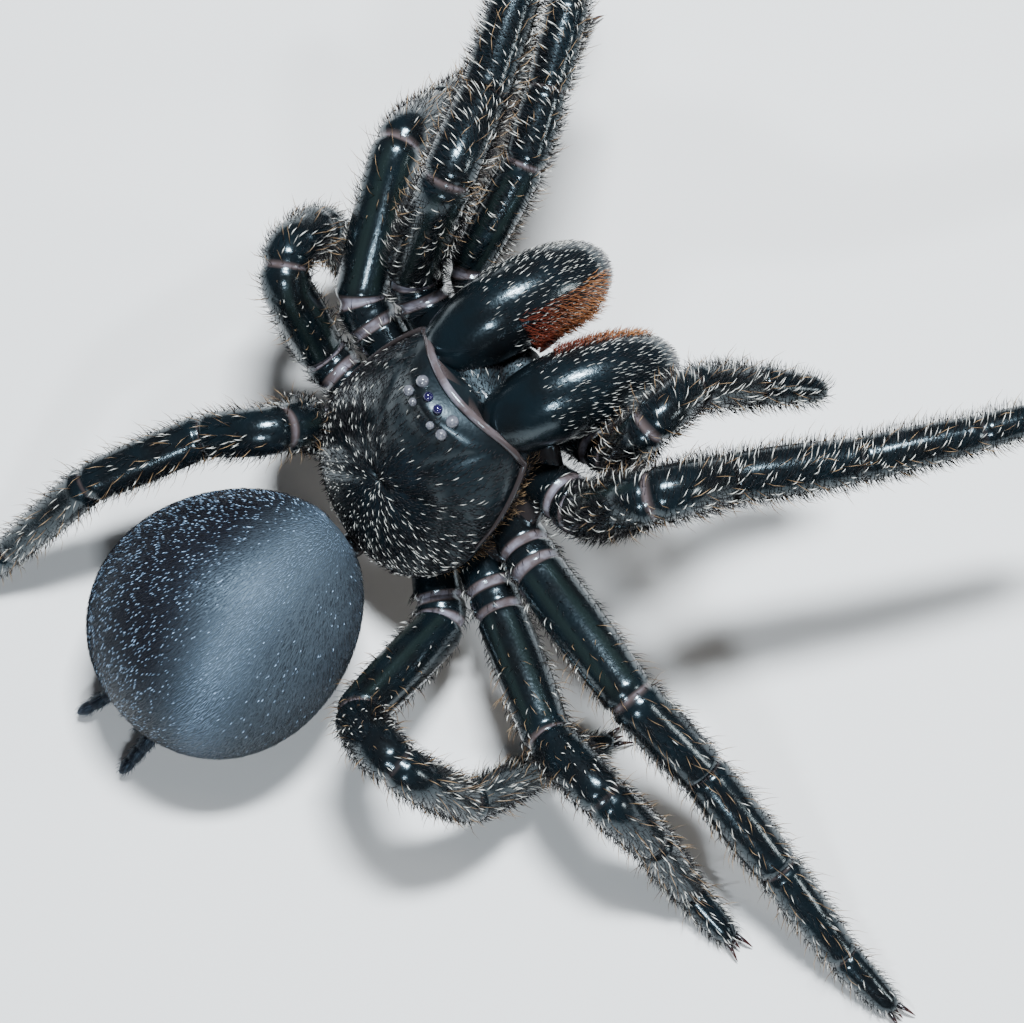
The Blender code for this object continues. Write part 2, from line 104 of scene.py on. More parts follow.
# %% Floor and lights
FLOOR_SIZE = 600.0
FLOOR_COLOUR = (0.72, 0.7, 0.67, 1)
FLOOR_ROUGHNESS = 0.85
SKY_COLOUR = (0.85, 0.9, 1.0, 1)
SKY_STRENGTH = 0.1
LAMPS = (
    # name, its place to the right, up and back, width, height, power, colour
    ("key", 10, 72, 125, 36, 16, 0.72, (0.84, 0.92, 1.0)),
    ("streak", -8, -76, 125, 22, 7, 0.16, (0.8, 0.9, 1.0)),
    ("side", 150, -10, 80, 30, 30, 0.07, (1.0, 0.97, 0.93)),
)


def area_light(name, right, up, back, width, height, power, colour):
    """An area light placed by its distances along the camera's own axes, aimed at the target."""
    data = bpy.data.lights.new(name, "AREA")
    data.shape = "RECTANGLE"
    data.size = width * MM
    data.size_y = height * MM
    data.energy = power
    data.color = colour
    offset = view_right * right + view_up * up + view_back * back
    facing = offset.normalized()
    level = view_up.cross(facing).normalized()
    stand(placed(name, data), CAMERA_TARGET + offset, level, facing.cross(level), facing)


def floor_plane():
    """A pale matt floor at the level of the feet."""
    mesh = bpy.data.meshes.new("floor")
    reach = FLOOR_SIZE * MM
    corners = [(-reach, -reach, 0), (reach, -reach, 0), (reach, reach, 0), (-reach, reach, 0)]
    mesh.from_pydata(corners, [], [(0, 1, 2, 3)])
    finish = bpy.data.materials.new("floor")
    finish.use_nodes = True
    shader = finish.node_tree.nodes["Principled BSDF"]
    shader.inputs["Base Color"].default_value = FLOOR_COLOUR
    shader.inputs["Roughness"].default_value = FLOOR_ROUGHNESS
    mesh.materials.append(finish)
    placed("floor", mesh)


floor_plane()
for lamp in LAMPS:
    area_light(*lamp)
world = bpy.data.worlds.new("studio")
world.use_nodes = True
sky = world.node_tree.nodes["Background"]
sky.inputs["Color"].default_value = SKY_COLOUR
sky.inputs["Strength"].default_value = SKY_STRENGTH
bpy.context.scene.world = world
print("lamps:", len(LAMPS), "and a dim sky")

# %% [markdown]
# ## The body's own axes
# The front half of the body is tilted up by 45 degrees. Every place on it is stated forward, left and
# up from the middle of the carapace, so that the head can be modelled as if it lay level.

# %% Directions
PROSOMA_CENTRE = np.array((1.16, -8.5, 6.6))
PROSOMA_PITCH = 45.0
PROSOMA_BEARING = 5.0
WORLD_UP = np.array((0.0, 0.0, 1.0))


def unit(vectors):
    """Vectors scaled to length one, along the last axis."""
    return vectors / (np.linalg.norm(vectors, axis=-1, keepdims=True) + 1e-12)


def heading(bearing, pitch):
    """Unit vector at a bearing from straight ahead, + to the left, and a pitch above the floor."""
    b, p = np.radians(bearing), np.radians(pitch)
    return np.stack([np.sin(b) * np.cos(p), -np.cos(b) * np.cos(p), np.sin(p) + 0 * b], axis=-1)


PROSOMA_FORWARD = heading(PROSOMA_BEARING, PROSOMA_PITCH)
PROSOMA_LEFT = heading(PROSOMA_BEARING + 90, 0)
PROSOMA_UP = np.cross(PROSOMA_FORWARD, PROSOMA_LEFT)


def prosoma(forward, left, up):
    """Points given on the prosoma's own axes, as one array."""
    forward, left, up = np.broadcast_arrays(forward, left, up)
    return (
        PROSOMA_CENTRE
        + forward[..., None] * PROSOMA_FORWARD
        + left[..., None] * PROSOMA_LEFT
        + up[..., None] * PROSOMA_UP
    )


print("head points to", PROSOMA_FORWARD.round(2))

# %% [markdown]
# ## Skins as grids
# Each form is a grid of points: rows along it and columns round it. A grid can be skinned into a
# closed mesh, and it also knows its own normals and its lie from front to back, so the same grid
# later says where each bristle grows, which way it leans and where it sits on the unwrap.

# %% Grid of a form
MASKS = ("membrane", "stripe", "velvet", "shade")
ROW_STEP = 0.87
PATCHES = {
    # left, bottom, width and height on the unwrap; each limb adds its own strip later
    "carapace": (0.62, 0.02, 0.17, 0.3),
    "chelicera_left": (0.8, 0.02, 0.09, 0.3),
    "chelicera_right": (0.9, 0.02, 0.09, 0.3),
    "core": (0.62, 0.34, 0.1, 0.08),
    "lip": (0.73, 0.34, 0.05, 0.08),
    "brow": (0.79, 0.34, 0.05, 0.08),
    "sternum": (0.85, 0.34, 0.1, 0.08),
    "pedicel": (0.62, 0.43, 0.04, 0.02),
    "spinneret_long_left": (0.67, 0.43, 0.05, 0.02),
    "spinneret_short_left": (0.73, 0.43, 0.03, 0.02),
    "spinneret_long_right": (0.79, 0.43, 0.05, 0.02),
    "spinneret_short_right": (0.85, 0.43, 0.03, 0.02),
    "rostrum": (0.9, 0.43, 0.03, 0.02),
    "bed": (0.94, 0.43, 0.05, 0.02),
    "abdomen": (0.62, 0.45, 0.37, 0.53),
}


class Form:
    """A closed form from rows of rings, with its masks and its patch on the unwrap."""

    def __init__(self, name, points, **masks):
        self.name = name
        self.points = points
        self.patch = PATCHES.get(name)
        for mask in MASKS:
            setattr(self, mask, np.broadcast_to(masks.get(mask, 0.0), points.shape[:2]))
        self.lie = unit(np.gradient(points, axis=0))
        round_it = np.roll(points, -1, axis=1) - np.roll(points, 1, axis=1)
        self.normals = unit(np.cross(round_it, self.lie))
        middles = points.mean(axis=1, keepdims=True)
        if ((points - middles) * self.normals).sum(axis=-1).mean() < 0:
            self.normals = -self.normals

    def inset(self, depth):
        """The same form a little smaller, as skin lies under its coat."""
        self.points = self.points - self.normals * depth
        return self

    def mesh_object(self):
        """Closed mesh object through the rings, with its ends fanned shut."""
        rows, columns = self.points.shape[:2]
        body = self.points.reshape(-1, 3)
        ends = np.stack([self.points[0].mean(axis=0), self.points[-1].mean(axis=0)])
        first, last = len(body), len(body) + 1
        i, j = np.meshgrid(np.arange(rows - 1), np.arange(columns), indexing="ij")
        a, b = i * columns + j, i * columns + (j + 1) % columns
        quads = np.stack([a, b, b + columns, a + columns], axis=-1).reshape(-1, 4)
        k = np.arange(columns)
        step = (k + 1) % columns
        top = (rows - 1) * columns
        fans = np.concatenate([
            np.stack([np.full(columns, first), step, k], axis=-1),
            np.stack([np.full(columns, last), top + k, top + step], axis=-1),
        ])
        triangles = np.concatenate([quads[:, [0, 1, 2]], quads[:, [0, 2, 3]], fans])
        made = bmesh.new()
        places = [made.verts.new(p) for p in np.concatenate([body, ends]).tolist()]
        for tri in triangles.tolist():
            made.faces.new([places[v] for v in tri])
        if made.calc_volume(signed=True) < 0:
            bmesh.ops.reverse_faces(made, faces=made.faces[:])
        data = bpy.data.meshes.new(self.name)
        made.to_mesh(data)
        made.free()
        return bpy.data.objects.new(self.name, data)

    def sample(self, row, column):
        """Point, normal and lie between the grid's own points."""
        rows, columns = self.points.shape[:2]
        row = np.clip(row, 0, rows - 1.001)
        i, j = row.astype(int), np.floor(column).astype(int)
        s, t = (row - i)[:, None], (column - j)[:, None]
        j, k = j % columns, (j + 1) % columns

        def mixed(field):
            near = field[i, j] * (1 - t) + field[i, k] * t
            far = field[i + 1, j] * (1 - t) + field[i + 1, k] * t
            return near * (1 - s) + far * s

        return mixed(self.points), unit(mixed(self.normals)), unit(mixed(self.lie))

    def scatter(self, spacing, draw, low=0.0, high=1.0, jitter=0.3):
        """Staggered rows of places a given distance apart, as rows and columns of the grid."""
        rows, columns = self.points.shape[:2]
        steps = np.linalg.norm(np.diff(self.points, axis=0), axis=-1).mean(axis=1)
        along = np.concatenate([[0.0], np.cumsum(steps)])
        round_it = np.linalg.norm(self.points - np.roll(self.points, 1, axis=1), axis=-1).sum(axis=1)
        found_rows, found_columns = [], []
        places = np.arange(low * along[-1], high * along[-1], spacing * ROW_STEP)
        for number, at in enumerate(places):
            row = np.interp(at, along, np.arange(rows))
            count = max(1, round(np.interp(at, along, round_it) / spacing))
            turns = np.arange(count) + 0.5 * (number % 2) + draw.uniform(-jitter, jitter, count)
            slip = draw.uniform(-jitter, jitter, count) * spacing
            found_rows.append(np.interp(at + slip, along, np.arange(rows)) + 0 * row)
            found_columns.append(turns / count * columns)
        return np.concatenate(found_rows), np.concatenate(found_columns)


print("a form is a grid with", len(MASKS), "masks:", ", ".join(MASKS))

# %% [markdown]
# ## Helpers for rings
# Every tube of the body is a path with a ring at each step. If each ring were turned on its own, the
# tube would twist at the bends, so each spoke is carried over from the ring before. The bell and the
# softening give collars, waists and smooth profiles, and a stored mask takes a number to each point.

# %% Helpers for rings
FIRST_SPOKE = np.array((0.31, 0.17, 0.93))


def circle(count):
    """Angles of so many columns round a ring."""
    return np.linspace(0, math.tau, count, endpoint=False)


def ring_spokes(tangents, columns):
    """Unit spokes across each tangent of a path, turned as little as possible from ring to ring."""
    spoke = FIRST_SPOKE
    tops = []
    for tangent in tangents:
        spoke = unit(spoke - tangent * (spoke @ tangent))
        tops.append(spoke)
    tops = np.stack(tops)
    sides = np.cross(tangents, tops)
    angles = circle(columns)
    cosine, sine = np.cos(angles)[None, :, None], np.sin(angles)[None, :, None]
    return tops[:, None] * cosine + sides[:, None] * sine


def bell(distance, width):
    """A smooth bump of height one."""
    return np.exp(-((distance / width) ** 2))


def store(data, name, values):
    """Keep one number for each point of a mesh, where materials can read it."""
    layer = data.attributes.new(name, "FLOAT", "POINT")
    layer.data.foreach_set("value", values.astype(np.float32))


def softened(values, window):
    """A row of values smoothed through a round window, its ends held."""
    weights = np.hanning(window) / np.hanning(window).sum()
    return np.convolve(np.pad(values, window // 2, mode="edge"), weights, "valid")


print("a bell at half its width is", round(float(bell(0.5, 1.0)), 2))

# %% [markdown]
# ## Limbs
# A leg is a row of stiff tubes joined by soft rings. The path is the solids' own: straight pieces
# joined by arcs at the knees. Along it the radius swells in each segment and draws in at each joint,
# where the pale membrane shows between two hard collars.

# %% Limb sizes
SKIN_SHARE = 0.95
KNEE_ROOM = 0.4
LEAST_BEND = 0.01
RING_STEP = 0.1
PINCH = 0.9
LIMB_COLUMNS = 36
SWELL = 0.09
SOLE_HEIGHT = 0.26
SOLE_CLEARANCE = 0.02
COXA_SUNK = 1.0

LEG_LENGTHS = {
    1: (5.9, 3.5, 4.5, 4.1, 2.6),
    2: (5.7, 3.7, 4.3, 4.0, 2.6),
    3: (4.9, 3.1, 3.0, 3.4, 2.2),
    4: (5.6, 3.5, 4.4, 4.7, 2.5),
}
PALP_LENGTHS = (4.3, 2.6, 3.1, 2.6)
LEG_RADII = {
    1: (0.72, 0.95, 0.9, 0.84, 0.76, 0.6, 0.42),
    2: (0.72, 0.95, 0.9, 0.86, 0.78, 0.6, 0.4),
    3: (0.72, 0.9, 0.86, 0.8, 0.72, 0.56, 0.38),
    4: (0.72, 0.9, 0.84, 0.78, 0.72, 0.56, 0.38),
}
PALP_RADII = (0.5, 0.72, 0.74, 0.72, 0.68, 0.4)
COXA_INNER = {1: (1.85, 2.3, -2.1), 2: (0.1, 2.5, -2.1), 3: (-1.65, 2.35, -2.1), 4: (-3.2, 1.6, -2.1)}
FEMUR_BASE = {
    ("left", 1): (3.3, 5.2, -1.35),
    ("left", 2): (0.9, 6.0, -1.35),
    ("left", 3): (-1.75, 5.75, -1.35),
    ("left", 4): (-4.35, 5.0, -1.5),
    ("right", 1): (3.1, 5.2, -1.35),
    ("right", 2): (0.2, 5.45, -1.35),
    ("right", 3): (-2.1, 5.6, -1.35),
    ("right", 4): (-4.4, 4.4, -1.35),
}
PALP_INNER = (3.0, 1.4, -3.05)
PALP_BASE = {"left": (4.6, 4.13, -2.3), "right": (4.72, 4.42, -2.4)}
LEG_POSE = {
    ("left", 1): ((3, 75), (39, -3), (41, 17), (43, -30), (43, -24)),
    ("left", 2): ((43, 33), (30, -44), (22, -41), (22, -41), (22, -22)),
    ("left", 3): ((102, 64), (27, -35), (-4, -75), (-36, -79), (20, -12)),
    ("left", 4): ((-109, 65), (147, -19), (169, -14), (174, -44), (174, -33)),
    ("right", 1): ((-65, 68), (-5, -32), (-20, -5), (-17, 1), (-14, 0)),
    ("right", 2): ((-87, 9), (-70, -31), (-78, -25), (-79, -28), (-74, -17)),
    ("right", 3): ((-101, 9), (-81, 18), (-60, -51), (-70, -56), (-77, -15)),
    ("right", 4): ((-156, 29), (-88, 39), (-38, -58), (6, -41), (-6, -11)),
}
PALP_POSE = {
    "left": ((24, 40), (42, 19), (45, 17), (45, -6)),
    "right": ((-55, 78), (20, -24), (-11, -39), (-27, -19)),
}
RAISED = {("left", 1), ("right", 1)}
print("limbs:", len(LEG_POSE) + len(PALP_POSE))

# %% [markdown]
# The path could be a smooth curve through the joints, but a spider's limb bends only at its knees.
# So it is worked out piece by piece, and any place along it gives a point and a direction.

# %% Path of a limb
class LimbPath:
    """The middle line of a limb: straight pieces joined by round arcs at its corners."""

    def __init__(self, corners, radii):
        self.pieces = []
        self.joints = [0.0]
        self.length = 0.0
        reach_before = 0.0
        for k in range(len(corners) - 1):
            run = corners[k + 1] - corners[k]
            ahead = unit(run)
            after = corners[k + 2] - corners[k + 1] if k + 2 < len(corners) else run
            bend = math.acos(min(1.0, float(ahead @ unit(after))))
            span, next_span = np.linalg.norm(run), np.linalg.norm(after)
            reach = 0.0
            if bend > LEAST_BEND:
                wanted = (radii[k + 1] + KNEE_ROOM) * math.tan(bend / 2)
                reach = min(wanted, 0.5 * min(span, next_span))
            start = corners[k] + ahead * reach_before
            self.add("straight", span - reach_before - reach, (start, ahead))
            if reach:
                bow = reach / math.tan(bend / 2)
                inward = unit(unit(after) - ahead)
                middle = corners[k + 1] + inward * (bow / math.cos(bend / 2))
                spoke = corners[k + 1] - ahead * reach - middle
                self.add("arc", bow * bend, (middle, unit(spoke), ahead, bow))
                self.joints.append(self.length - bow * bend / 2)
            else:
                self.joints.append(self.length)
            reach_before = reach

    def add(self, kind, length, shape):
        self.pieces.append((self.length, kind, shape))
        self.length += length

    def at(self, along):
        """Point, tangent, and in an arc the way to its middle as long as the arc's radius."""
        for begin, kind, shape in reversed(self.pieces):
            if along >= begin:
                break
        if kind == "straight":
            start, ahead = shape
            return start + ahead * (along - begin), ahead, np.zeros(3)
        middle, outward, ahead, bow = shape
        turn = (along - begin) / bow
        centre = middle + outward * (bow * math.cos(turn)) + ahead * (bow * math.sin(turn))
        return centre, ahead * math.cos(turn) - outward * math.sin(turn), middle - centre


print("a path is made of straights and arcs")

# %% [markdown]
# The joint's profile is a sum of two bells: a wide one lifts the collars of the hard segments and a
# narrow one cuts the waist of the membrane between them. The trochanter is a short ring of its own
# near the outer end of the coxa, so each limb has one joint more than its solid.

# %% Profile of a limb
COLLAR_RISE = 0.07
COLLAR_WIDTH = 0.36
WAIST_DEPTH = 0.19
WAIST_WIDTH = 0.15
TROCHANTER_PLACE = 0.72
MEMBRANE_WIDTH = {"base": 0.15, "knee": 0.07, "other": 0.05}
MEMBRANE_STRENGTH = {"base": 1.0, "knee": 0.6, "other": 0.35}
MEMBRANE_FADE = 1.5


def limb_radius(path, radii, along):
    """Radius along a limb, straight between its joints with a slight swelling in each segment."""
    k = max(i for i in range(len(radii) - 1) if along >= path.joints[i] or i == 0)
    share = (along - path.joints[k]) / (path.joints[k + 1] - path.joints[k])
    return (radii[k] + (radii[k + 1] - radii[k]) * share) * (1 + SWELL * math.sin(math.pi * share))


def joint_marks(path, along):
    """Rise of the collars and waists along a limb, and the softness of its membranes."""
    trochanter = path.joints[1] * TROCHANTER_PLACE + COXA_SUNK * (1 - TROCHANTER_PLACE)
    joints = [(trochanter, "base"), (path.joints[1], "base"), (path.joints[2], "knee")]
    joints += [(place, "other") for place in path.joints[3:-1]]
    shape = np.ones(len(along))
    soft = np.zeros(len(along))
    for place, kind in joints:
        away = along - place
        shape += COLLAR_RISE * bell(away, COLLAR_WIDTH) - WAIST_DEPTH * bell(away, WAIST_WIDTH)
        fade = np.clip(MEMBRANE_FADE - np.abs(away) / MEMBRANE_WIDTH[kind], 0, 1)
        soft = np.maximum(soft, MEMBRANE_STRENGTH[kind] * fade)
    return shape, soft


print("membrane at the joints:", MEMBRANE_WIDTH)

# %% [markdown]
# Each limb could be modelled segment by segment, but a single tube from the body to the tip has no
# seams to hide. Its rings sit close together, and where it bends tightly the inner side of each ring
# is held back, so that the rings never cross. Two faint stripes run along the back of each femur.

# %% Limb forms
STRIPE_ANGLES = (-0.42, 0.42)
STRIPE_WIDTH = 0.16
STRIPE_RUN_IN = 0.6
TIP_TURN = (0.1, 0.48)
TIP_RINGS = 6
LIMB_PATCH_WIDTH = 0.058


def limb_corners(base, lengths, pose, grounded):
    """Corners of a limb's middle line, from inside the body to its tip."""
    corners = list(base)
    for length, (bearing, pitch) in zip(lengths, pose):
        corners.append(corners[-1] + heading(bearing, pitch) * length)
    if grounded:
        corners[-1][2] = SOLE_HEIGHT
    corners[0] = corners[0] - unit(corners[1] - corners[0]) * COXA_SUNK
    return corners


def overrun(spokes, inward):
    """How far spokes in a tight bend reach past its middle, where rings would cross."""
    bow = np.linalg.norm(inward, axis=1)
    toward = inward / np.maximum(bow, LEAST_BEND)[:, None]
    past = np.maximum(0.0, (spokes * toward[:, None]).sum(axis=-1) - PINCH * bow[:, None])
    past = past * (bow > 0)[:, None]
    return past[..., None] * toward[:, None]


def femur_stripes(path, along):
    """Two stripes along the back of the femur, fading at its ends."""
    start, knee = path.joints[1], path.joints[2]
    into = np.clip((along - start) / STRIPE_RUN_IN, 0, 1)
    out = np.clip((knee - along) / STRIPE_RUN_IN, 0, 1)
    angles = (circle(LIMB_COLUMNS) + math.pi) % math.tau - math.pi
    bands = sum(bell(angles - at, STRIPE_WIDTH) for at in STRIPE_ANGLES)
    return (into * out)[:, None] * bands[None]


def limb_form(name, base, lengths, pose, radii, grounded):
    """Skin of one limb from inside the body to its tip, with its stations kept for its claws."""
    path = LimbPath(limb_corners(base, lengths, pose, grounded), radii)
    tip_from = path.length - radii[-1]
    turn = np.linspace(*TIP_TURN, TIP_RINGS) * math.pi
    along = np.concatenate([np.arange(0, tip_from, RING_STEP), tip_from + radii[-1] * np.sin(turn)])
    radius = [limb_radius(path, radii, place) for place in along[:-TIP_RINGS]]
    radius = np.concatenate([radius, radii[-1] * np.cos(turn)]) * SKIN_SHARE
    centres, tangents, inward = (np.stack(part) for part in zip(*(path.at(place) for place in along)))
    shape, soft = joint_marks(path, along)
    spokes = ring_spokes(tangents, LIMB_COLUMNS) * (radius * shape)[:, None, None]
    points = centres[:, None] + spokes - overrun(spokes, inward)
    points[..., 2] = np.maximum(points[..., 2], SOLE_CLEARANCE)
    upper = np.clip((points - centres[:, None])[..., 2] / radius[:, None] + 0.9, 0.25, 1)
    form = Form(name, points, membrane=soft[:, None] * upper, stripe=femur_stripes(path, along))
    form.path, form.along, form.radii = path, along, radii
    return form


def on_side(point, side):
    """A point on the prosoma's axes, on the named side."""
    forward, left, up = point
    return prosoma(forward, left if side == "left" else -left, up)


limbs = {}
for side in ("left", "right"):
    for number in (*LEG_LENGTHS, "palp"):
        palp = number == "palp"
        name = f"palp_{side}" if palp else f"leg_{side}_{number}"
        column = len(limbs) * LIMB_PATCH_WIDTH + 0.01
        PATCHES[name] = (column, 0.02, LIMB_PATCH_WIDTH * 0.9, 0.7 if palp else 0.96)
        inner = PALP_INNER if palp else COXA_INNER[number]
        outer = PALP_BASE[side] if palp else FEMUR_BASE[side, number]
        limbs[name] = limb_form(
            name,
            [on_side(inner, side), on_side(outer, side)],
            PALP_LENGTHS if palp else LEG_LENGTHS[number],
            PALP_POSE[side] if palp else LEG_POSE[side, number],
            PALP_RADII if palp else LEG_RADII[number],
            grounded=not palp and (side, number) not in RAISED,
        )
print("limb rings:", {name: len(form.along) for name, form in limbs.items()})

# %% [markdown]
# ## Carapace
# The shield over the front half is low and round behind and steep in front, with the eyes on a mound
# near its front edge. A curved pit marks its middle and shallow grooves run out from it, where the
# muscles of the legs are tied inside.

# %% Carapace
CARAPACE_REAR = -4.25
CARAPACE_FRONT = 3.75
CARAPACE_HALF_WIDTH = 3.9
CARAPACE_WIDEST = -0.8
CARAPACE_RIM = -0.1
CARAPACE_FLOOR = -0.4
THORAX_HEIGHT = 1.4
CAPUT_HEIGHT = 2.4
FOVEA_FORWARD = -0.9
EYE_MOUND = (3.1, 0.0, 0.3)
CARAPACE_INSET = 0.05
GROOVE_DEPTH = 0.06
GROOVE_WIDTH = 0.2
GROOVE_HEADINGS = (28, 62, 100, 138)
FOVEA_DEPTH = 0.22
FOVEA_WIDTH = 0.16
RIM_ROLL = 0.05
CARAPACE_VELVET = 0.16


def carapace_half_width(forward):
    """Half width of the carapace at a place along it."""
    behind = np.clip((CARAPACE_WIDEST - forward) / (CARAPACE_WIDEST - CARAPACE_REAR), 0, 1)
    before = np.clip((forward - CARAPACE_WIDEST) / (CARAPACE_FRONT - CARAPACE_WIDEST), 0, 1)
    rear = 0.22 + 0.78 * np.sqrt(1 - behind**1.7)
    return CARAPACE_HALF_WIDTH * np.where(forward < CARAPACE_WIDEST, rear, 1 - 0.3 * before**1.6)


def carapace_crown(forward):
    """Height of the carapace's middle line."""
    run = np.minimum(1.0, (forward - CARAPACE_REAR) / 3.4)
    rear = 0.3 + (THORAX_HEIGHT - 0.3) * np.sin(run * math.pi / 2)
    rise = 1 / (1 + np.exp(-(forward - FOVEA_FORWARD - 1.0) * 2.0))
    fall = 0.5 * np.maximum(0.0, (forward - 3.0) / (CARAPACE_FRONT - 3.0)) ** 2
    return rear + (CAPUT_HEIGHT - THORAX_HEIGHT) * rise - fall


def carapace_surface(forward, left):
    """Height of the carapace's upper face, with its pit, grooves, rim and eye mound."""
    share = np.minimum(1.0, np.abs(left) / carapace_half_width(forward))
    arch = (1 - share**2.2) ** 0.62
    mound = EYE_MOUND[2] * bell(left, 1.05) * bell(forward - EYE_MOUND[0], 0.62)
    height = CARAPACE_RIM + (carapace_crown(forward) - CARAPACE_RIM) * arch + mound
    ahead = forward - FOVEA_FORWARD
    away = np.hypot(ahead, left)
    arc = ahead - 0.4 * left**2 + 0.1
    pit = FOVEA_DEPTH * bell(arc, FOVEA_WIDTH) * np.clip(1.4 - (left / 0.62) ** 2, 0, 1)
    bearing = np.degrees(np.arctan2(np.abs(left), ahead))
    grooves = sum(bell(away * np.radians(bearing - aim), GROOVE_WIDTH) for aim in GROOVE_HEADINGS)
    grooves = grooves * np.clip((away - 0.5) / 0.6, 0, 1) * np.clip((0.92 - share) / 0.25, 0, 1)
    roll = RIM_ROLL * bell(share - 0.97, 0.035)
    return height - pit - GROOVE_DEPTH * grooves + roll


def carapace_form():
    """Grid of the carapace: its arched top, and a floor a little below its rim."""
    ends = np.linspace(0, 1, 110)
    eased = (0.5 - 0.5 * np.cos(math.pi * ends)) ** 0.9
    forward = CARAPACE_REAR + (CARAPACE_FRONT - CARAPACE_REAR) * eased
    width = carapace_half_width(forward)
    over = np.linspace(0, math.pi, 72)
    left = width[:, None] * np.cos(over)[None]
    top = prosoma(forward[:, None], left, carapace_surface(forward[:, None], left))
    under = np.linspace(-0.92, 0.92, 20)
    below = prosoma(forward[:, None], width[:, None] * under[None], CARAPACE_FLOOR)
    shell = np.concatenate([top, below], axis=1)
    return Form("carapace", shell, velvet=CARAPACE_VELVET).inset(CARAPACE_INSET)


carapace = carapace_form()
print("carapace grid:", carapace.points.shape[:2])

# %% [markdown]
# ## The body below the shield
# Between the shield and the breastplate the body is soft. A rounded core fills it and takes the roots
# of the limbs, and a wider bed of the same shape closes the gaps between those roots from below. In
# front a smooth, pale lip of membrane arches over the roots of the chelicerae: it is a tube swept
# along the front edge of the shield.

# %% Core and lip
CORE = {"wide": 0.92, "depth": 0.95, "level": -1.2, "ahead": 0.0}
BED = {"wide": 1.12, "depth": 0.7, "level": -1.75, "ahead": 0.45}
CORE_MEMBRANE = 0.2
LIP_RADIUS = 0.145
LIP_DROP = 0.08
LIP_PATH = (
    # left, forward, share of the radius
    (0.0, 3.87, 1.0),
    (1.0, 3.87, 1.0),
    (2.1, 3.8, 0.95),
    (2.75, 3.55, 0.85),
    (3.1, 3.0, 0.7),
    (3.45, 2.0, 0.6),
    (3.72, 0.8, 0.55),
    (3.8, -0.6, 0.3),
)
LIP_PALE = 0.24
LIP_PALER_AND_HIGHLIGHT = 0.58
LIP_PALER_AND_HIGHLIGHT_WIDTH = 1.9
LIP_WINDOW = 33


def tube_form(name, centres, radii, columns=24, **masks):
    """Closed tube along a row of centres, its rings turned as little as possible."""
    spokes = ring_spokes(unit(np.gradient(centres, axis=0)), columns)
    return Form(name, centres[:, None] + spokes * np.asarray(radii)[:, None, None], **masks)


def core_form(name, wide, depth, level, ahead):
    """Soft body between the shield and the breastplate, its width a share of the shield's."""
    share = np.linspace(0, 1, 60)
    forward = CARAPACE_REAR + 0.25 + (CARAPACE_FRONT - CARAPACE_REAR - 0.3) * share
    ends = np.clip(np.sin(math.pi * (0.03 + 0.94 * share)) * 2.2, 0, 1) ** 0.5
    width = wide * carapace_half_width(forward) * ends
    angles = circle(72)
    left = width[:, None] * np.sin(angles)[None]
    deep = depth * np.sin(math.pi * (0.05 + 0.9 * share)) ** 0.4
    up = level + deep[:, None] * np.sign(np.cos(angles)) * np.abs(np.cos(angles))[None] ** 0.7
    return Form(name, prosoma(forward[:, None] + ahead, left, up), membrane=CORE_MEMBRANE)


def lip_form():
    """Pale lip of membrane along the front edge of the carapace and back along its sides."""
    left, forward, size = np.array(LIP_PATH).T
    left = np.concatenate([-left[:0:-1], left])
    forward, size = (np.concatenate([part[:0:-1], part]) for part in (forward, size))
    share = np.linspace(0, 1, len(left))
    fine = np.linspace(0, 1, 160)
    left, forward, size = (
        softened(np.interp(fine, share, part), LIP_WINDOW) for part in (left, forward, size)
    )
    on_shield = np.minimum(forward, CARAPACE_FRONT)
    half_width = carapace_half_width(on_shield)
    inside = np.clip(left / half_width, -0.995, 0.995) * half_width
    up = carapace_surface(on_shield, inside) - LIP_DROP
    # Palest in the middle of the front: partly the membrane's own colour, partly a painted highlight.
    pale = LIP_PALE + LIP_PALER_AND_HIGHLIGHT * bell(left, LIP_PALER_AND_HIGHLIGHT_WIDTH)
    return tube_form("lip", prosoma(forward, left, up), LIP_RADIUS * size, membrane=pale[:, None])


core, bed, lip = core_form("core", **CORE), core_form("bed", **BED), lip_form()
print("grids of the core, the bed and the lip:", [form.points.shape[:2] for form in (core, bed, lip)])

# %% [markdown]
# ## Brow, snout and breastplate
# A soft brow and a rounded snout fill the space between the lip and the jaws, where hairs will grow
# on them. Below, the breastplate is a flat shield with the labium at its front. Each is a short stack
# of rings, which is all that such plain forms need.

# %% Brow, snout and breastplate
BROW_HALF_WIDTH = 2.6
BROW_CENTRE = (3.4, -0.4)
BROW_REACH = (0.9, 1.1)
SNOUT_VELVET = 0.49
ROSTRUM_CENTRE = (3.9, 0.0, -1.6)
ROSTRUM_REACH = (1.2, 1.0, 1.0)
STERNUM_FRONT = 2.0
STERNUM_REAR = -3.15
STERNUM_HALF_WIDTH = 1.55
STERNUM_TOP = -0.8
STERNUM_DEPTH = 2.3
STERNUM_INSET = 0.06


def brow_form():
    """Soft filling between the lip and the roots of the chelicerae."""
    share = np.linspace(0, 1, 40)
    swell = np.sin(math.pi * (0.05 + 0.9 * share)) ** 0.5
    left = 2 * BROW_HALF_WIDTH * share - BROW_HALF_WIDTH
    angles = circle(48)
    forward = BROW_CENTRE[0] + BROW_REACH[0] * swell[:, None] * np.sin(angles)[None]
    up = BROW_CENTRE[1] + BROW_REACH[1] * swell[:, None] * np.cos(angles)[None]
    return Form("brow", prosoma(forward, left[:, None], up), velvet=SNOUT_VELVET)


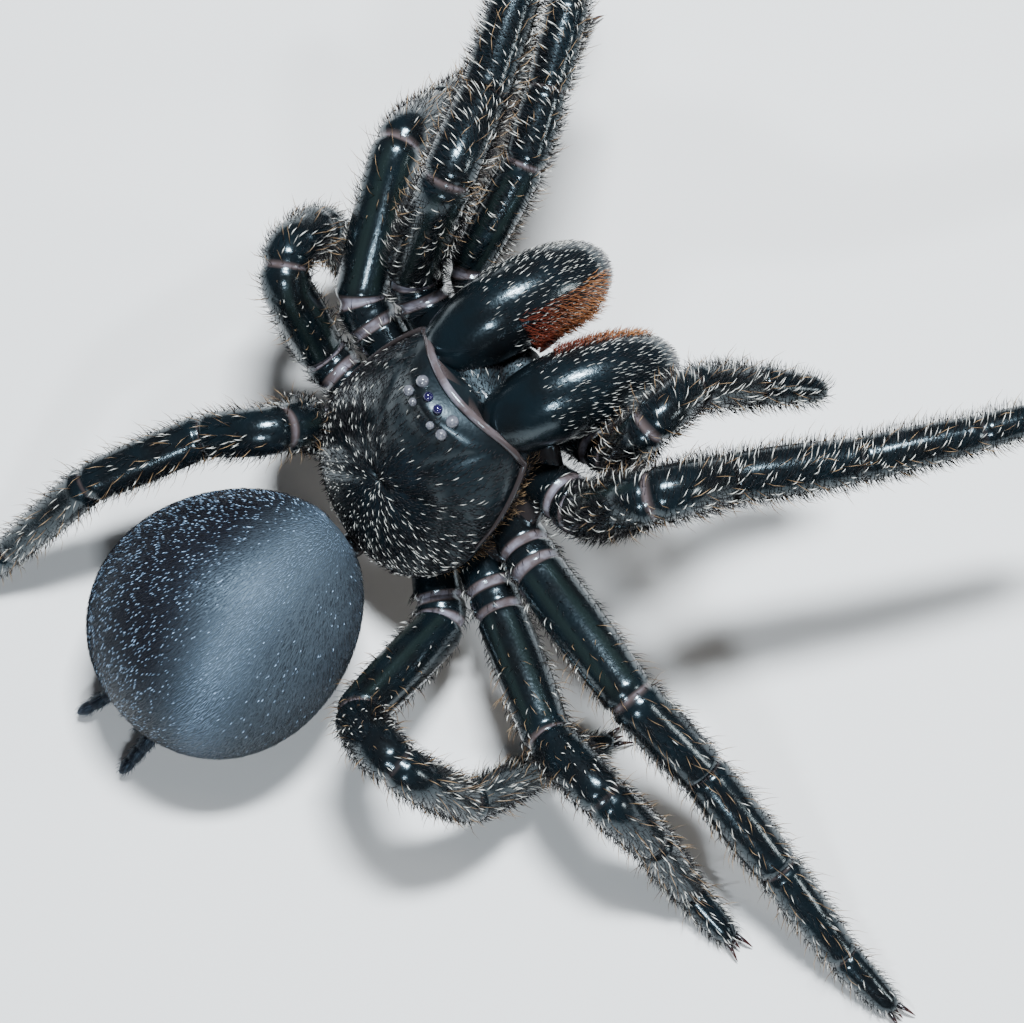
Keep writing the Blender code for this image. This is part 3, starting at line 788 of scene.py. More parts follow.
def rostrum_form():
    """Rounded snout between the roots of the chelicerae, above the mouth."""
    turn = np.linspace(0.04, 0.96, 30) * math.pi
    angles = circle(36)
    forward = ROSTRUM_CENTRE[0] - ROSTRUM_REACH[0] * np.cos(turn)[:, None] + 0 * angles
    left = ROSTRUM_CENTRE[1] + ROSTRUM_REACH[1] * np.sin(turn)[:, None] * np.sin(angles)[None]
    up = ROSTRUM_CENTRE[2] + ROSTRUM_REACH[2] * np.sin(turn)[:, None] * np.cos(angles)[None]
    return Form("rostrum", prosoma(forward, left, up), velvet=SNOUT_VELVET)


def sternum_form():
    """Breastplate with the labium at its front."""
    depth = np.linspace(0, 1, 36)
    scale = np.interp(depth, (0, 0.13, 0.56, 0.87, 1), (0.8, 0.95, 1.0, 0.85, 0.35))
    angles = circle(56)
    middle, reach = (STERNUM_FRONT + STERNUM_REAR) / 2, (STERNUM_FRONT - STERNUM_REAR) / 2
    forward = middle + np.cos(angles)[None] * (reach * scale)[:, None]
    taper = 1 - 0.3 * np.maximum(0.0, np.cos(angles)) ** 2
    left = np.sin(angles)[None] * taper[None] * (STERNUM_HALF_WIDTH * scale)[:, None]
    up = STERNUM_TOP - STERNUM_DEPTH * depth[:, None] - 0 * left
    return Form("sternum", prosoma(forward, left, up)).inset(STERNUM_INSET)


brow, rostrum, sternum = brow_form(), rostrum_form(), sternum_form()
trunk = [core, bed, carapace, lip, brow, rostrum, sternum]
print("in place:", ", ".join(form.name for form in trunk))

# %% [markdown]
# ## Abdomen
# The abdomen is an egg with its fuller end behind, tilted up in front. Its skin lies a little under
# the solid's face, because the pile adds its own depth. A mask over the same grid paints shade and
# sheen into its coat: black as painted shade on the spider's left and rear, blue-grey as lit on its
# right, and a painted sheen band between them.

# %% Abdomen
ABDOMEN_HALF_LENGTH = 4.95
ABDOMEN_HALF_WIDTH = 4.5
ABDOMEN_HALF_HEIGHT = 4.3
ABDOMEN_PITCH = 13.0
ABDOMEN_BEARING = 6.0
ABDOMEN_FLAT_DEPTH = 0.12
EGG = 0.1
PILE_DEPTH = 0.1
PAINTED_SHADE_EDGE = 0.3
PAINTED_SHADE_SOFTNESS = 0.42
PAINTED_SHEEN_BAND = 0.4
PAINTED_SHEEN_WIDTH = 0.18
LOWEST_SKIN = 0.05
ABDOMEN_FORWARD = heading(ABDOMEN_BEARING, ABDOMEN_PITCH)
abdomen_turn = math.radians(ABDOMEN_BEARING)
ABDOMEN_SIDE = np.array((math.cos(abdomen_turn), math.sin(abdomen_turn), 0))
ABDOMEN_UP = np.cross(ABDOMEN_FORWARD, ABDOMEN_SIDE)


def abdomen_centre():
    """Middle of the abdomen above the flat that it rests on."""
    tilt = math.radians(ABDOMEN_PITCH)
    along, high = ABDOMEN_HALF_LENGTH, ABDOMEN_HALF_HEIGHT
    reach = math.sqrt((along * math.sin(tilt)) ** 2 + (high * math.cos(tilt)) ** 2)
    shift = (along**2 - high**2) * math.sin(tilt) * math.cos(tilt) / reach
    return heading(ABDOMEN_BEARING, 0) * shift + WORLD_UP * (reach - ABDOMEN_FLAT_DEPTH)


def abdomen_form():
    """Egg of the abdomen, its rows running from the rear to the front."""
    turn = math.pi * np.linspace(0.012, 0.988, 120)
    along = -np.cos(turn)
    full = np.sin(turn) * (1 - EGG * along)
    angles = circle(130)
    middle = abdomen_centre() + ABDOMEN_FORWARD * (ABDOMEN_HALF_LENGTH * along)[:, None]
    high = ABDOMEN_UP * (ABDOMEN_HALF_HEIGHT * np.cos(angles))[:, None]
    wide = ABDOMEN_SIDE * (ABDOMEN_HALF_WIDTH * np.sin(angles))[:, None]
    points = middle[:, None] + full[:, None, None] * (high + wide)[None]
    # Painted shade: black towards the spider's left and rear, fading out towards its right and front.
    toward_right = 0.42 * along[:, None] - 0.9 * full[:, None] * np.sin(angles)[None]
    shade = np.clip((PAINTED_SHADE_EDGE - toward_right) / PAINTED_SHADE_SOFTNESS, 0, 1)
    form = Form("abdomen", points, velvet=1.0, shade=shade).inset(PILE_DEPTH)
    form.points[..., 2] = np.maximum(form.points[..., 2], LOWEST_SKIN)
    # Painted sheen: a band over the top just past the edge of the painted shade, which pales the pile.
    on_top = np.clip(np.cos(angles) + 0.1, 0, 1)
    form.sheen = bell(toward_right - PAINTED_SHEEN_BAND, PAINTED_SHEEN_WIDTH) * on_top[None]
    return form


abdomen = abdomen_form()
print("abdomen grid:", abdomen.points.shape[:2])

# %% [markdown]
# ## Waist and spinnerets
# A thin ringed waist joins the two halves of the body, and two pairs of spinnerets stand out behind.
# All are short tubes that start inside the abdomen, so that the union leaves no gap. The long
# spinnerets have three joints and the short ones a single one.

# %% Waist and spinnerets
PEDICEL_RADIUS = 0.5
PEDICEL_MEMBRANE = 0.4
SPINNERETS = {
    # how far behind, below and beside the abdomen's middle; its joints, radius, pitch, turn, splay
    "long": (4.9, 2.0, 1.05, (0.6, 0.55, 0.6), 0.31, -30, 7, 10),
    "short": (4.75, 2.35, 0.35, (0.6,), 0.19, -26, 0, 0),
}


def pedicel_form():
    """Waist from inside the core to inside the abdomen."""
    start = prosoma(CARAPACE_REAR + 1.3, 0, CARAPACE_FLOOR - 1.3)
    end = abdomen_centre() + ABDOMEN_FORWARD * (ABDOMEN_HALF_LENGTH * 0.7)
    end = end - ABDOMEN_UP * (ABDOMEN_HALF_HEIGHT * 0.6)
    share = np.linspace(0, 1, 40)
    radii = PEDICEL_RADIUS * (0.92 - 0.05 * np.cos(share * 34))
    centres = start + (end - start) * share[:, None]
    return tube_form("pedicel", centres, radii, membrane=PEDICEL_MEMBRANE)


def spinneret_form(name, hand, back, below, aside, pieces, radius, pitch, turn, splay):
    """A spinneret of one or more short joints, its root sunk in the abdomen."""
    root = abdomen_centre() - ABDOMEN_FORWARD * back - ABDOMEN_UP * below
    root = root + ABDOMEN_SIDE * (hand * aside)
    bearing = 180 + ABDOMEN_BEARING - hand * splay
    corners = [root - heading(bearing, pitch) * 0.7, root]
    for number, length in enumerate(pieces):
        corners.append(corners[-1] + heading(bearing, pitch + turn * number) * length)
    corners = np.stack(corners)
    reach = np.concatenate([[0], np.cumsum(np.linalg.norm(np.diff(corners, axis=0), axis=1))])
    along = np.linspace(0, reach[-1], 60)
    centres = np.stack([np.interp(along, reach, corners[:, axis]) for axis in range(3)], axis=-1)
    radii = radius * (1 - 0.35 * along / reach[-1])
    for place in reach[1:-1]:
        radii = radii * (1 - 0.16 * bell(along - place, 0.07))
    radii = radii * np.sqrt(np.clip((reach[-1] - along) / radius + 0.05, 0, 1))
    return tube_form(name, centres, radii, 20, velvet=1.0, shade=1.0)


pedicel = pedicel_form()
spinnerets = [
    spinneret_form(f"spinneret_{kind}_{side}", hand, *measures)
    for side, hand in (("left", 1), ("right", -1))
    for kind, measures in SPINNERETS.items()
]
print("waist grid:", pedicel.points.shape[:2], "spinnerets:", len(spinnerets))

# %% [markdown]
# ## Chelicerae
# Each jaw is a fat arched bean that carries a fang at its far end. The middle line turns down by a
# steady amount, and the width and height follow a short profile that is smoothed between its points.

# %% Chelicerae
CHELICERA_ROOT = (4.27, 1.68, -0.3)
CHELICERA_LENGTH = 5.5
CHELICERA_HALF_WIDTH = 1.48
CHELICERA_HALF_HEIGHT = 1.66
CHELICERA_PITCH = (32.0, -42.0)
CHELICERA_BEARING = {"left": 0.0, "right": -9.0}
CHELICERA_PROFILE = (
    # share of length, width, height
    (-0.2, 0.66, 0.7),
    (-0.1, 0.84, 0.88),
    (0.0, 0.9, 0.93),
    (0.07, 0.95, 0.97),
    (0.2, 1.0, 1.05),
    (0.36, 1.0, 1.03),
    (0.52, 0.99, 0.97),
    (0.66, 0.96, 0.91),
    (0.79, 0.88, 0.83),
    (0.9, 0.72, 0.7),
    (0.97, 0.5, 0.5),
    (1.0, 0.28, 0.3),
    (1.02, 0.08, 0.08),
)
CHELICERA_WINDOW = 9
CHELICERA_INSET = 0.04
SOCKET_RIM = 0.86
SOCKET_RIM_SOFTNESS = 0.06
FANG_LENGTH = 4.6
FANG_RADIUS = 0.55
FANG_PITCH = (-80.0, -125.0)
FANG_SETBACK = 0.9


def chelicera_form(side):
    """Grid of one basal segment, and the frame of its tip for the fang."""
    shares, widths, heights = np.array(CHELICERA_PROFILE).T
    share = np.linspace(shares[0], shares[-1], 90)
    width, height = (
        softened(np.interp(share, shares, values), CHELICERA_WINDOW) for values in (widths, heights)
    )
    bearing = CHELICERA_BEARING[side]
    pitch = CHELICERA_PITCH[0] + (CHELICERA_PITCH[1] - CHELICERA_PITCH[0]) * share
    aims = heading(np.full_like(share, bearing), pitch)
    steps = aims * (CHELICERA_LENGTH * np.gradient(share))[:, None]
    line = np.cumsum(steps, axis=0)
    line += on_side(CHELICERA_ROOT, side) - line[np.argmin(np.abs(share))]
    high = unit(WORLD_UP - aims * aims[:, 2:3])
    wide = np.cross(aims, high)
    angles = circle(56)
    rise = np.cos(angles)[None] * (height * CHELICERA_HALF_HEIGHT)[:, None]
    run = np.sin(angles)[None] * (width * CHELICERA_HALF_WIDTH)[:, None]
    points = line[:, None] + high[:, None] * rise[..., None] + wide[:, None] * run[..., None]
    rim = np.clip((share - SOCKET_RIM) / SOCKET_RIM_SOFTNESS, 0, 1)
    form = Form(f"chelicera_{side}", points, shade=rim[:, None]).inset(CHELICERA_INSET)
    form.tip, form.aim, form.below = line[-1], heading(bearing, CHELICERA_PITCH[1]), -high[-1]
    form.bearing = bearing
    return form


chelicerae = {side: chelicera_form(side) for side in ("left", "right")}
print("chelicera tips at", [form.tip.round(1).tolist() for form in chelicerae.values()])

# %% [markdown]
# ## One skin
# All the forms are fused by one Boolean union, so no seam is left between shield, body and limbs.
# The union keeps the forms' own points, so each of its points can look up the nearest one it came
# from and take over the masks that the materials read.

# %% Fuse the skin
SHARP_FOLD = 48.0


def fused(name, forms):
    """Union of closed forms as one object, with masks carried over from the nearest old point."""
    parts = [form.mesh_object() for form in forms]
    helpers = bpy.data.collections.new("helpers")
    for part in parts[1:]:
        helpers.objects.link(part)
    whole = parts[0]
    bpy.context.scene.collection.objects.link(whole)
    union = whole.modifiers.new("union", "BOOLEAN")
    union.operation = "UNION"
    union.operand_type = "COLLECTION"
    union.collection = helpers
    union.solver = "MANIFOLD"
    depsgraph = bpy.context.evaluated_depsgraph_get()
    data = bpy.data.meshes.new_from_object(whole.evaluated_get(depsgraph))
    for part in parts:
        bpy.data.objects.remove(part)
    bpy.data.collections.remove(helpers)
    old = np.concatenate([form.points.reshape(-1, 3) for form in forms])
    tree = KDTree(len(old))
    for number, point in enumerate(old.tolist()):
        tree.insert(point, number)
    tree.balance()
    nearest = np.array([tree.find(vertex.co)[1] for vertex in data.vertices])
    for mask in MASKS:
        values = np.concatenate([getattr(form, mask).reshape(-1) for form in forms])
        store(data, mask, values[nearest])
    data.transform(Matrix.Scale(MM, 4))
    data.name = name
    return placed(name, data)


skin_forms = [*trunk, abdomen, pedicel, *spinnerets, *chelicerae.values(), *limbs.values()]
skin = fused("skin", skin_forms)
skin.data.shade_smooth()
skin.data.set_sharp_from_angle(angle=math.radians(SHARP_FOLD))
print("skin:", len(skin.data.vertices), "points,", len(skin.data.polygons), "faces")

# %% [markdown]
# ## Finishes
# Each finish is built from shader nodes. A painted picture could do it too, but masks and noise need
# no unwrap and stay sharp at any distance. A few helpers keep the node trees short: one reads a mask,
# one makes noise, one stretches a value and two blend colours or numbers.

# %% Node helpers
def new_finish(name, **sockets):
    """A Principled material with constants set straight on the shader's own sockets."""
    made = bpy.data.materials.new(name)
    made.use_nodes = True
    shader = made.node_tree.nodes["Principled BSDF"]
    for socket, value in sockets.items():
        shader.inputs[socket.replace("_", " ")].default_value = value
    return made, made.node_tree, shader


def node(tree, kind, inputs=(), **settings):
    """One shader node with its settings, and links or values for its inputs by name."""
    made = tree.nodes.new(kind)
    for key, value in settings.items():
        setattr(made, key, value)
    for socket, value in dict(inputs).items():
        if isinstance(value, bpy.types.NodeSocket):
            tree.links.new(value, made.inputs[socket])
        else:
            made.inputs[socket].default_value = value
    return made


def mask_of(tree, name):
    """A mask stored on the mesh."""
    return node(tree, "ShaderNodeAttribute", attribute_name=name).outputs["Fac"]


def grain(tree, scale, detail=3.0):
    """Noise at so many waves to the metre."""
    place = node(tree, "ShaderNodeTexCoord").outputs["Object"]
    noise = {"Vector": place, "Scale": scale, "Detail": detail}
    return node(tree, "ShaderNodeTexNoise", noise).outputs["Fac"]


def ramp(tree, value, low, high, start, end):
    """A value stretched from one range to another."""
    return node(tree, "ShaderNodeMapRange", {
        "Value": value, "From Min": low, "From Max": high, "To Min": start, "To Max": end
    }).outputs["Result"]


def blend_colour(tree, share, first, second):
    """A colour between two, by a share."""
    mix = node(tree, "ShaderNodeMix", data_type="RGBA")
    tree.links.new(share, mix.inputs[0])
    for socket, value in ((mix.inputs[6], first), (mix.inputs[7], second)):
        if isinstance(value, bpy.types.NodeSocket):
            tree.links.new(value, socket)
        else:
            socket.default_value = (*value, 1)
    return mix.outputs[2]


def blend_number(tree, share, first, second):
    """A number between two, by a share."""
    mix = node(tree, "ShaderNodeMix", data_type="FLOAT")
    tree.links.new(share, mix.inputs[0])
    for socket, value in ((mix.inputs[2], first), (mix.inputs[3], second)):
        if isinstance(value, bpy.types.NodeSocket):
            tree.links.new(value, socket)
        else:
            socket.default_value = value
    return mix.outputs[0]


def bumped(tree, shader, height, strength, distance):
    """Fine relief on a shader from a height."""
    relief = {"Height": height, "Strength": strength, "Distance": distance}
    bump = node(tree, "ShaderNodeBump", relief)
    tree.links.new(bump.outputs["Normal"], shader.inputs["Normal"])


print("masks for the nodes:", ", ".join(MASKS))

# %% [markdown]
# ## Cuticle and velvet
# The hard cuticle is black and glossy with very fine grain. Where the membrane mask is high it turns
# into a pale, greyish lavender, blotched with brown. The stripe mask only tints the backs of the
# femora, the shade mask reddens the ends of the jaws, and the velvet mask dulls the shield, the brow
# and the snout. The abdomen has a finish of its own: velvety, blue-grey as lit, and black where its
# shade mask paints shade.

# %% Cuticle and velvet
CUTICLE_BLACK = (0.003, 0.0035, 0.004)
CUTICLE_BLUE = (0.003, 0.006, 0.008)
MEMBRANE_LAVENDER = (0.175, 0.165, 0.195)
RIM_PURPLE = (0.028, 0.010, 0.014)
MEMBRANE_BROWN = (0.06, 0.043, 0.04)
STRIPE_GREEN = (0.008, 0.013, 0.012)
# Lit and shaded copies of the abdomen's velvet: blue-grey as lit, black as painted shade.
VELVET_PAINTED_SHADE_BLACK = (0.005, 0.004, 0.006)
VELVET_PAINTED_LIT_BLUE = (0.045, 0.058, 0.07)
CUTICLE_TINT = (0.7, 0.9, 1.0, 1)
VELVET_TINT = (0.55, 0.78, 1.0, 1)
SHEEN_TINT = (0.45, 0.65, 0.9, 1)
BROAD_CUTICLE, BLOTCH_CUTICLE, FINE_CUTICLE = 700.0, 2200.0, 9000.0
BROAD_VELVET, FINE_VELVET = 350.0, 5000.0


def cuticle_finish():
    """Glossy black cuticle; its masks turn it to pale membrane, tint its stripes and dull its gloss."""
    made, tree, shader = new_finish(
        "black_cuticle", Coat_Weight=0.1, Coat_Roughness=0.1, Specular_IOR_Level=0.5
    )
    shader.inputs["Specular Tint"].default_value = CUTICLE_TINT
    soft = mask_of(tree, "membrane")
    broad, fine = grain(tree, BROAD_CUTICLE), grain(tree, FINE_CUTICLE, 4.0)
    hard = blend_colour(tree, ramp(tree, broad, 0.35, 0.65, 0, 1), CUTICLE_BLACK, CUTICLE_BLUE)
    rimmed = blend_colour(tree, mask_of(tree, "shade"), hard, RIM_PURPLE)
    striped = blend_colour(tree, mask_of(tree, "stripe"), rimmed, STRIPE_GREEN)
    paler = ramp(tree, soft, 0.35, 0.95, 0, 1)
    pale = blend_colour(tree, paler, MEMBRANE_BROWN, MEMBRANE_LAVENDER)
    blotches = ramp(tree, grain(tree, BLOTCH_CUTICLE), 0.38, 0.62, 0, 0.85)
    uneven = blend_colour(tree, blotches, pale, MEMBRANE_BROWN)
    colour = blend_colour(tree, ramp(tree, soft, 0.1, 0.5, 0, 1), striped, uneven)
    tree.links.new(colour, shader.inputs["Base Color"])
    polished, wet = ramp(tree, fine, 0.3, 0.7, 0.15, 0.24), ramp(tree, fine, 0.3, 0.7, 0.1, 0.2)
    gloss = blend_number(tree, mask_of(tree, "velvet"), polished, 1.0)
    tree.links.new(blend_number(tree, soft, gloss, wet), shader.inputs["Roughness"])
    bumped(tree, shader, fine, 0.35, 0.00002)
    return made


def velvet_finish():
    """Soft skin of the abdomen under its pile."""
    made, tree, shader = new_finish(
        "abdomen_velvet", Sheen_Weight=0.06, Sheen_Roughness=0.4, Specular_IOR_Level=0.35
    )
    shader.inputs["Sheen Tint"].default_value = SHEEN_TINT
    shader.inputs["Specular Tint"].default_value = VELVET_TINT
    broad, fine = grain(tree, BROAD_VELVET), grain(tree, FINE_VELVET, 4.0)
    # Painted shade: the shade mask, clouded by noise, turns the velvet from lit blue-grey to black.
    cloudy = blend_number(tree, ramp(tree, broad, 0.35, 0.65, 0, 0.3), mask_of(tree, "shade"), 1.0)
    tree.links.new(blend_colour(tree, cloudy, VELVET_PAINTED_LIT_BLUE, VELVET_PAINTED_SHADE_BLACK), shader.inputs["Base Color"])
    tree.links.new(ramp(tree, fine, 0.3, 0.7, 0.44, 0.54), shader.inputs["Roughness"])
    bumped(tree, shader, fine, 0.6, 0.00004)
    return made


cuticle, velvet = cuticle_finish(), velvet_finish()
skin.data.materials.clear()
skin.data.materials.append(cuticle)
skin.data.materials.append(velvet)
velvety = np.zeros(len(skin.data.vertices), np.float32)
skin.data.attributes["velvet"].data.foreach_get("value", velvety)
slots = [velvety[list(face.vertices)].mean() > 0.5 for face in skin.data.polygons]
skin.data.polygons.foreach_set("material_index", np.array(slots, dtype=np.int32))
flesh = [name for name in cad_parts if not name.startswith(("eye_", "fang_"))]
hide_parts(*flesh)
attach(skin, "root")
print("skin stands for", len(flesh), "solids")

# %% [markdown]
# ## Bristles
# A bristle is a thin three-sided spike in two lengths: it leaves the skin at an angle and bends
# over along its lie. Strands of a particle system would be lighter, but they are no solid that can be
# exported, so each bristle is made of real triangles and all of one region go into one mesh.

# %% Shape of a bristle
ROOT_SUNK = 0.03
SPIKE_SIDES = 3
SPIKE_POINTS = 7
SPIKE_SHARES = np.array([0, 0, 0, 0.5, 0.5, 0.5, 1])
SPIKE_TAPER = 0.75


def bristle_faces(count):
    """Triangles of many spikes of seven points each."""
    one = []
    for k in range(SPIKE_SIDES):
        n = (k + 1) % SPIKE_SIDES
        one += [(k, n, n + 3), (k, n + 3, k + 3), (k + 3, n + 3, 6)]
    one.append((2, 1, 0))
    one = np.array(one)
    return (np.arange(count)[:, None, None] * SPIKE_POINTS + one[None]).reshape(-1, 3)


def spikes(root, normal, lean, length, width, lift, bend):
    """Seven points for each spike: three at its root, three at its bend and its tip."""
    first = lean * np.cos(lift)[:, None] + normal * np.sin(lift)[:, None]
    second = lean * np.cos(lift - bend)[:, None] + normal * np.sin(lift - bend)[:, None]
    middle = root + first * (length * 0.5)[:, None]
    flat = unit(np.cross(first, normal))
    other = np.cross(flat, first)
    points = np.empty((len(root), SPIKE_POINTS, 3))
    for k in range(SPIKE_SIDES):
        turn = math.tau * k / SPIKE_SIDES
        spoke = (flat * math.cos(turn) + other * math.sin(turn)) * width[:, None]
        points[:, k] = root - normal * ROOT_SUNK + spoke
        points[:, k + 3] = middle + spoke * SPIKE_TAPER
    points[:, 6] = middle + second * (length * 0.5)[:, None]
    return points


print("triangles in a bristle:", len(bristle_faces(1)))

# %% [markdown]
# ## Coats of bristles
# A coat starts from places on a form's grid. Each bristle stores how far along it a point lies and
# its own random tone, and its place on the unwrap is a small patch at its root. Bristles that would
# pierce the floor are left out, and a very full coat is parted into pieces of a handy size.

# %% Coats of bristles
BAKE_PATCH = 0.003
FLOOR_CLEARANCE = 0.03
MOST_BRISTLES = 19000


def mesh_from_arrays(name, points, triangles):
    """A mesh straight from arrays of points and triangles."""
    data = bpy.data.meshes.new(name)
    data.vertices.add(len(points))
    data.vertices.foreach_set("co", points.astype(np.float32).reshape(-1))
    data.loops.add(triangles.size)
    data.loops.foreach_set("vertex_index", triangles.astype(np.int32).reshape(-1))
    data.polygons.add(len(triangles))
    data.polygons.foreach_set("loop_start", np.arange(0, triangles.size, 3, dtype=np.int32))
    data.update(calc_edges=True)
    return data


def bake_patches(form, row, column):
    """Small patches on the unwrap, one for each spike at its root."""
    left, bottom, wide, high = form.patch
    rows, columns = form.points.shape[:2]
    u = left + (column % columns) / columns * wide
    v = bottom + row / rows * high
    corners = [(k % 3 * 0.5, 0.5 * (k // 3)) for k in range(6)] + [(0.5, 1.0)]
    return np.stack([u, v], axis=-1)[:, None] + (np.array(corners) * BAKE_PATCH)[None]


def coat_piece(name, points, patch, tone, shade, finish):
    """One object of many spikes, with its masks and its unwrap."""
    triangles = bristle_faces(len(points))
    data = mesh_from_arrays(name, points.reshape(-1, 3) * MM, triangles)
    data.shade_smooth()
    store(data, "tip", np.tile(SPIKE_SHARES, len(points)))
    store(data, "tone", np.repeat(tone, SPIKE_POINTS))
    store(data, "shade", np.repeat(shade, SPIKE_POINTS))
    bake = data.uv_layers.new(name="OFBake")
    spread = patch.reshape(-1, 2)[triangles.reshape(-1)]
    bake.data.foreach_set("uv", spread.astype(np.float32).reshape(-1))
    data.materials.append(finish)
    coat = placed(name, data)
    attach(coat, "root")
    return coat


def bristles(
    name, form, places, length, width, lift, bend, swing, tone, finish, lie=None, shade=None
):
    """Coat of bristles at places (rows, columns) of a form; the sizes are arrays in millimetres."""
    row, column = places
    root, normal, along = form.sample(row, column)
    lie = along if lie is None else unit(lie - normal * (lie * normal).sum(axis=-1, keepdims=True))
    across = np.cross(normal, lie)
    lean = unit(lie * np.cos(swing)[:, None] + across * np.sin(swing)[:, None])
    points = spikes(root, normal, lean, length, width, lift, bend)
    clear = points[:, 6, 2] > FLOOR_CLEARANCE
    shade = np.zeros(len(root)) if shade is None else shade
    patch = bake_patches(form, row, column)
    points, patch, tone, shade = points[clear], patch[clear], tone[clear], shade[clear]
    made = []
    for start in range(0, len(points), MOST_BRISTLES):
        part = slice(start, start + MOST_BRISTLES)
        label = name if len(points) <= MOST_BRISTLES else f"{name}_{start // MOST_BRISTLES + 1}"
        made.append(coat_piece(label, points[part], patch[part], tone[part], shade[part], finish))
    return made


print("at most", MOST_BRISTLES, "bristles in a piece")

# %% [markdown]
# ## Colours of the bristles
# On the animal a bristle is dark at its root, and only some have pale or golden tips: the gold is
# real, while the pale tips of the dark bristles and the pile are mostly painted glints. One finish for
# each kind is enough, because every bristle carries its own random tone from dark to pale.

# %% Bristle finishes
def bristle_finish(name, root, dark, pale, roughness, shaded=None):
    """Bristles dark at the root, with tips from dark to pale by each one's own tone."""
    made, tree, shader = new_finish(name, Roughness=roughness, Specular_IOR_Level=0.25)
    tip, tone = mask_of(tree, "tip"), mask_of(tree, "tone")
    # Pale tips are real gold on spines and fringe, painted glints and sheen on bristles and pile; the
    # shade mask darkens pile tips as painted shade and as real dark hairs.
    end = blend_colour(tree, mask_of(tree, "shade"), dark, shaded or dark)
    end = blend_colour(tree, tone, end, pale)
    colour = blend_colour(tree, ramp(tree, tip, 0.0, 0.6, 0, 1), root, end)
    tree.links.new(colour, shader.inputs["Base Color"])
    return made


bristle_dark = bristle_finish(
    "bristle", root=(0.004, 0.004, 0.005), dark=(0.007, 0.006, 0.007),
    pale=(0.9, 0.87, 0.78), roughness=0.5,
)
# Pile tips: lit blue-grey, painted shade with real dark hairs, and pale painted glints and sheen.
pile_blue = bristle_finish(
    "pile", root=(0.01, 0.013, 0.018), dark=(0.042, 0.055, 0.068),
    pale=(0.5, 0.72, 1.0), roughness=0.5, shaded=(0.005, 0.004, 0.006),
)
bristle_brown = bristle_finish(
    "spine", root=(0.010, 0.007, 0.006), dark=(0.06, 0.032, 0.018),
    pale=(0.7, 0.46, 0.24), roughness=0.3,
)
fringe_red = bristle_finish(
    "fringe", root=(0.035, 0.006, 0.003), dark=(0.12, 0.02, 0.008),
    pale=(0.52, 0.22, 0.07), roughness=0.45,
)
coat_finishes = (bristle_dark, pile_blue, bristle_brown, fringe_red)
print("finishes:", [finish.name for finish in (cuticle, velvet, *coat_finishes)])

# %% [markdown]
# ## Pile of the abdomen
# The short pile lies from front to back in staggered rows. On the spider's left and rear it is black
# as painted shade, with pale tips as painted glints, and to the right it is blue-grey as lit, with a
# painted sheen band between.
# A flat texture could tint it, but only real hairs break the edge of the body. Every hair draws its
# own length, width and angles.

# %% Abdomen pile
draw = np.random.default_rng(11)
DARK_HAIRS = 0.4
PAINTED_SHEEN_TONE = 0.55
PILE_SPACING = 0.09
SPINNERET_SPACING = 0.12
PILE_LENGTH, GLINT_LENGTH = 0.27, 0.15
PILE_WIDTH, GLINT_WIDTH = 0.0105, 0.024


def pick(low, high, count):
    """Random numbers between two limits."""
    return draw.uniform(low, high, count)


def pile_on_abdomen():
    """Short pile over the whole abdomen, with its painted shade, painted glints and painted sheen."""
    row, column = abdomen.scatter(PILE_SPACING, draw, 0.02, 0.97)
    count = len(row)
    i = np.minimum(row.astype(int), abdomen.points.shape[0] - 1)
    j = np.floor(column).astype(int) % abdomen.points.shape[1]
    shade, sheen = abdomen.shade[i, j], abdomen.sheen[i, j]
    # Pale tips are painted glints, most in the painted shade, and painted sheen in the band.
    glint = pick(0, 1, count) < 0.02 + 0.2 * shade**1.5
    return bristles(
        "abdomen_pile", abdomen, (row, column),
        length=np.where(glint, GLINT_LENGTH, PILE_LENGTH) * pick(0.8, 1.2, count),
        width=np.where(glint, GLINT_WIDTH, PILE_WIDTH) * pick(0.8, 1.1, count),
        lift=pick(0.2, 0.45, count), bend=pick(0.1, 0.35, count),
        swing=math.pi + pick(-0.2, 0.2, count),
        tone=np.where(glint, pick(0.35, 1, count) ** 1.5, PAINTED_SHEEN_TONE * sheen * pick(0.4, 1, count)),
        finish=pile_blue, shade=np.maximum(shade, pick(0, 1, count) < DARK_HAIRS),
    )


def sizes(count, **limits):
    """Random sizes and angles for so many bristles, each kind between its two limits."""
    return {kind: pick(*between, count) for kind, between in limits.items()}


coats = pile_on_abdomen()
for form in spinnerets:
    row, column = form.scatter(SPINNERET_SPACING, draw, 0.25, 0.97)
    count = len(row)
    coats += bristles(
        f"{form.name}_pile", form, (row, column),
        **sizes(
            count, length=(0.15, 0.28), width=(0.009, 0.013), lift=(0.4, 0.8),
            bend=(0.1, 0.4), swing=(-0.3, 0.3), tone=(0, 0.15),
        ),
        finish=pile_blue, shade=np.ones(count),
    )
print("pile:", sum(len(coat.data.polygons) for coat in coats), "faces")

# %% [markdown]
# ## Bristles of the limbs
# Limb bristles lean to the tip of the limb, and on the raised front limbs they stand out across it.
# They are sparse on the coxae and the femora, where two stripes stay bare, and dense from the knee to
# the claws, but two of the legs are smoother and shine. A few long brown ones break the outline.

# %% Limb bristles
LIMB_SPACING = 0.135
SPINE_SPACING = 0.55
TOP_BARE = 1.5
STRIPE_BARE = 0.35
MEMBRANE_BARE = 0.2
SMOOTH = {"leg_right_2", "leg_left_4"}
STANDING = {"leg_right_1", "leg_left_1", "palp_right", "palp_left"}
COXA_DENSITY = 0.6
FEMUR_DENSITY = {"standing": 0.7, "leaning": 0.3}
OUTER_DENSITY = {"smooth": 0.5, "hairy": 0.85}


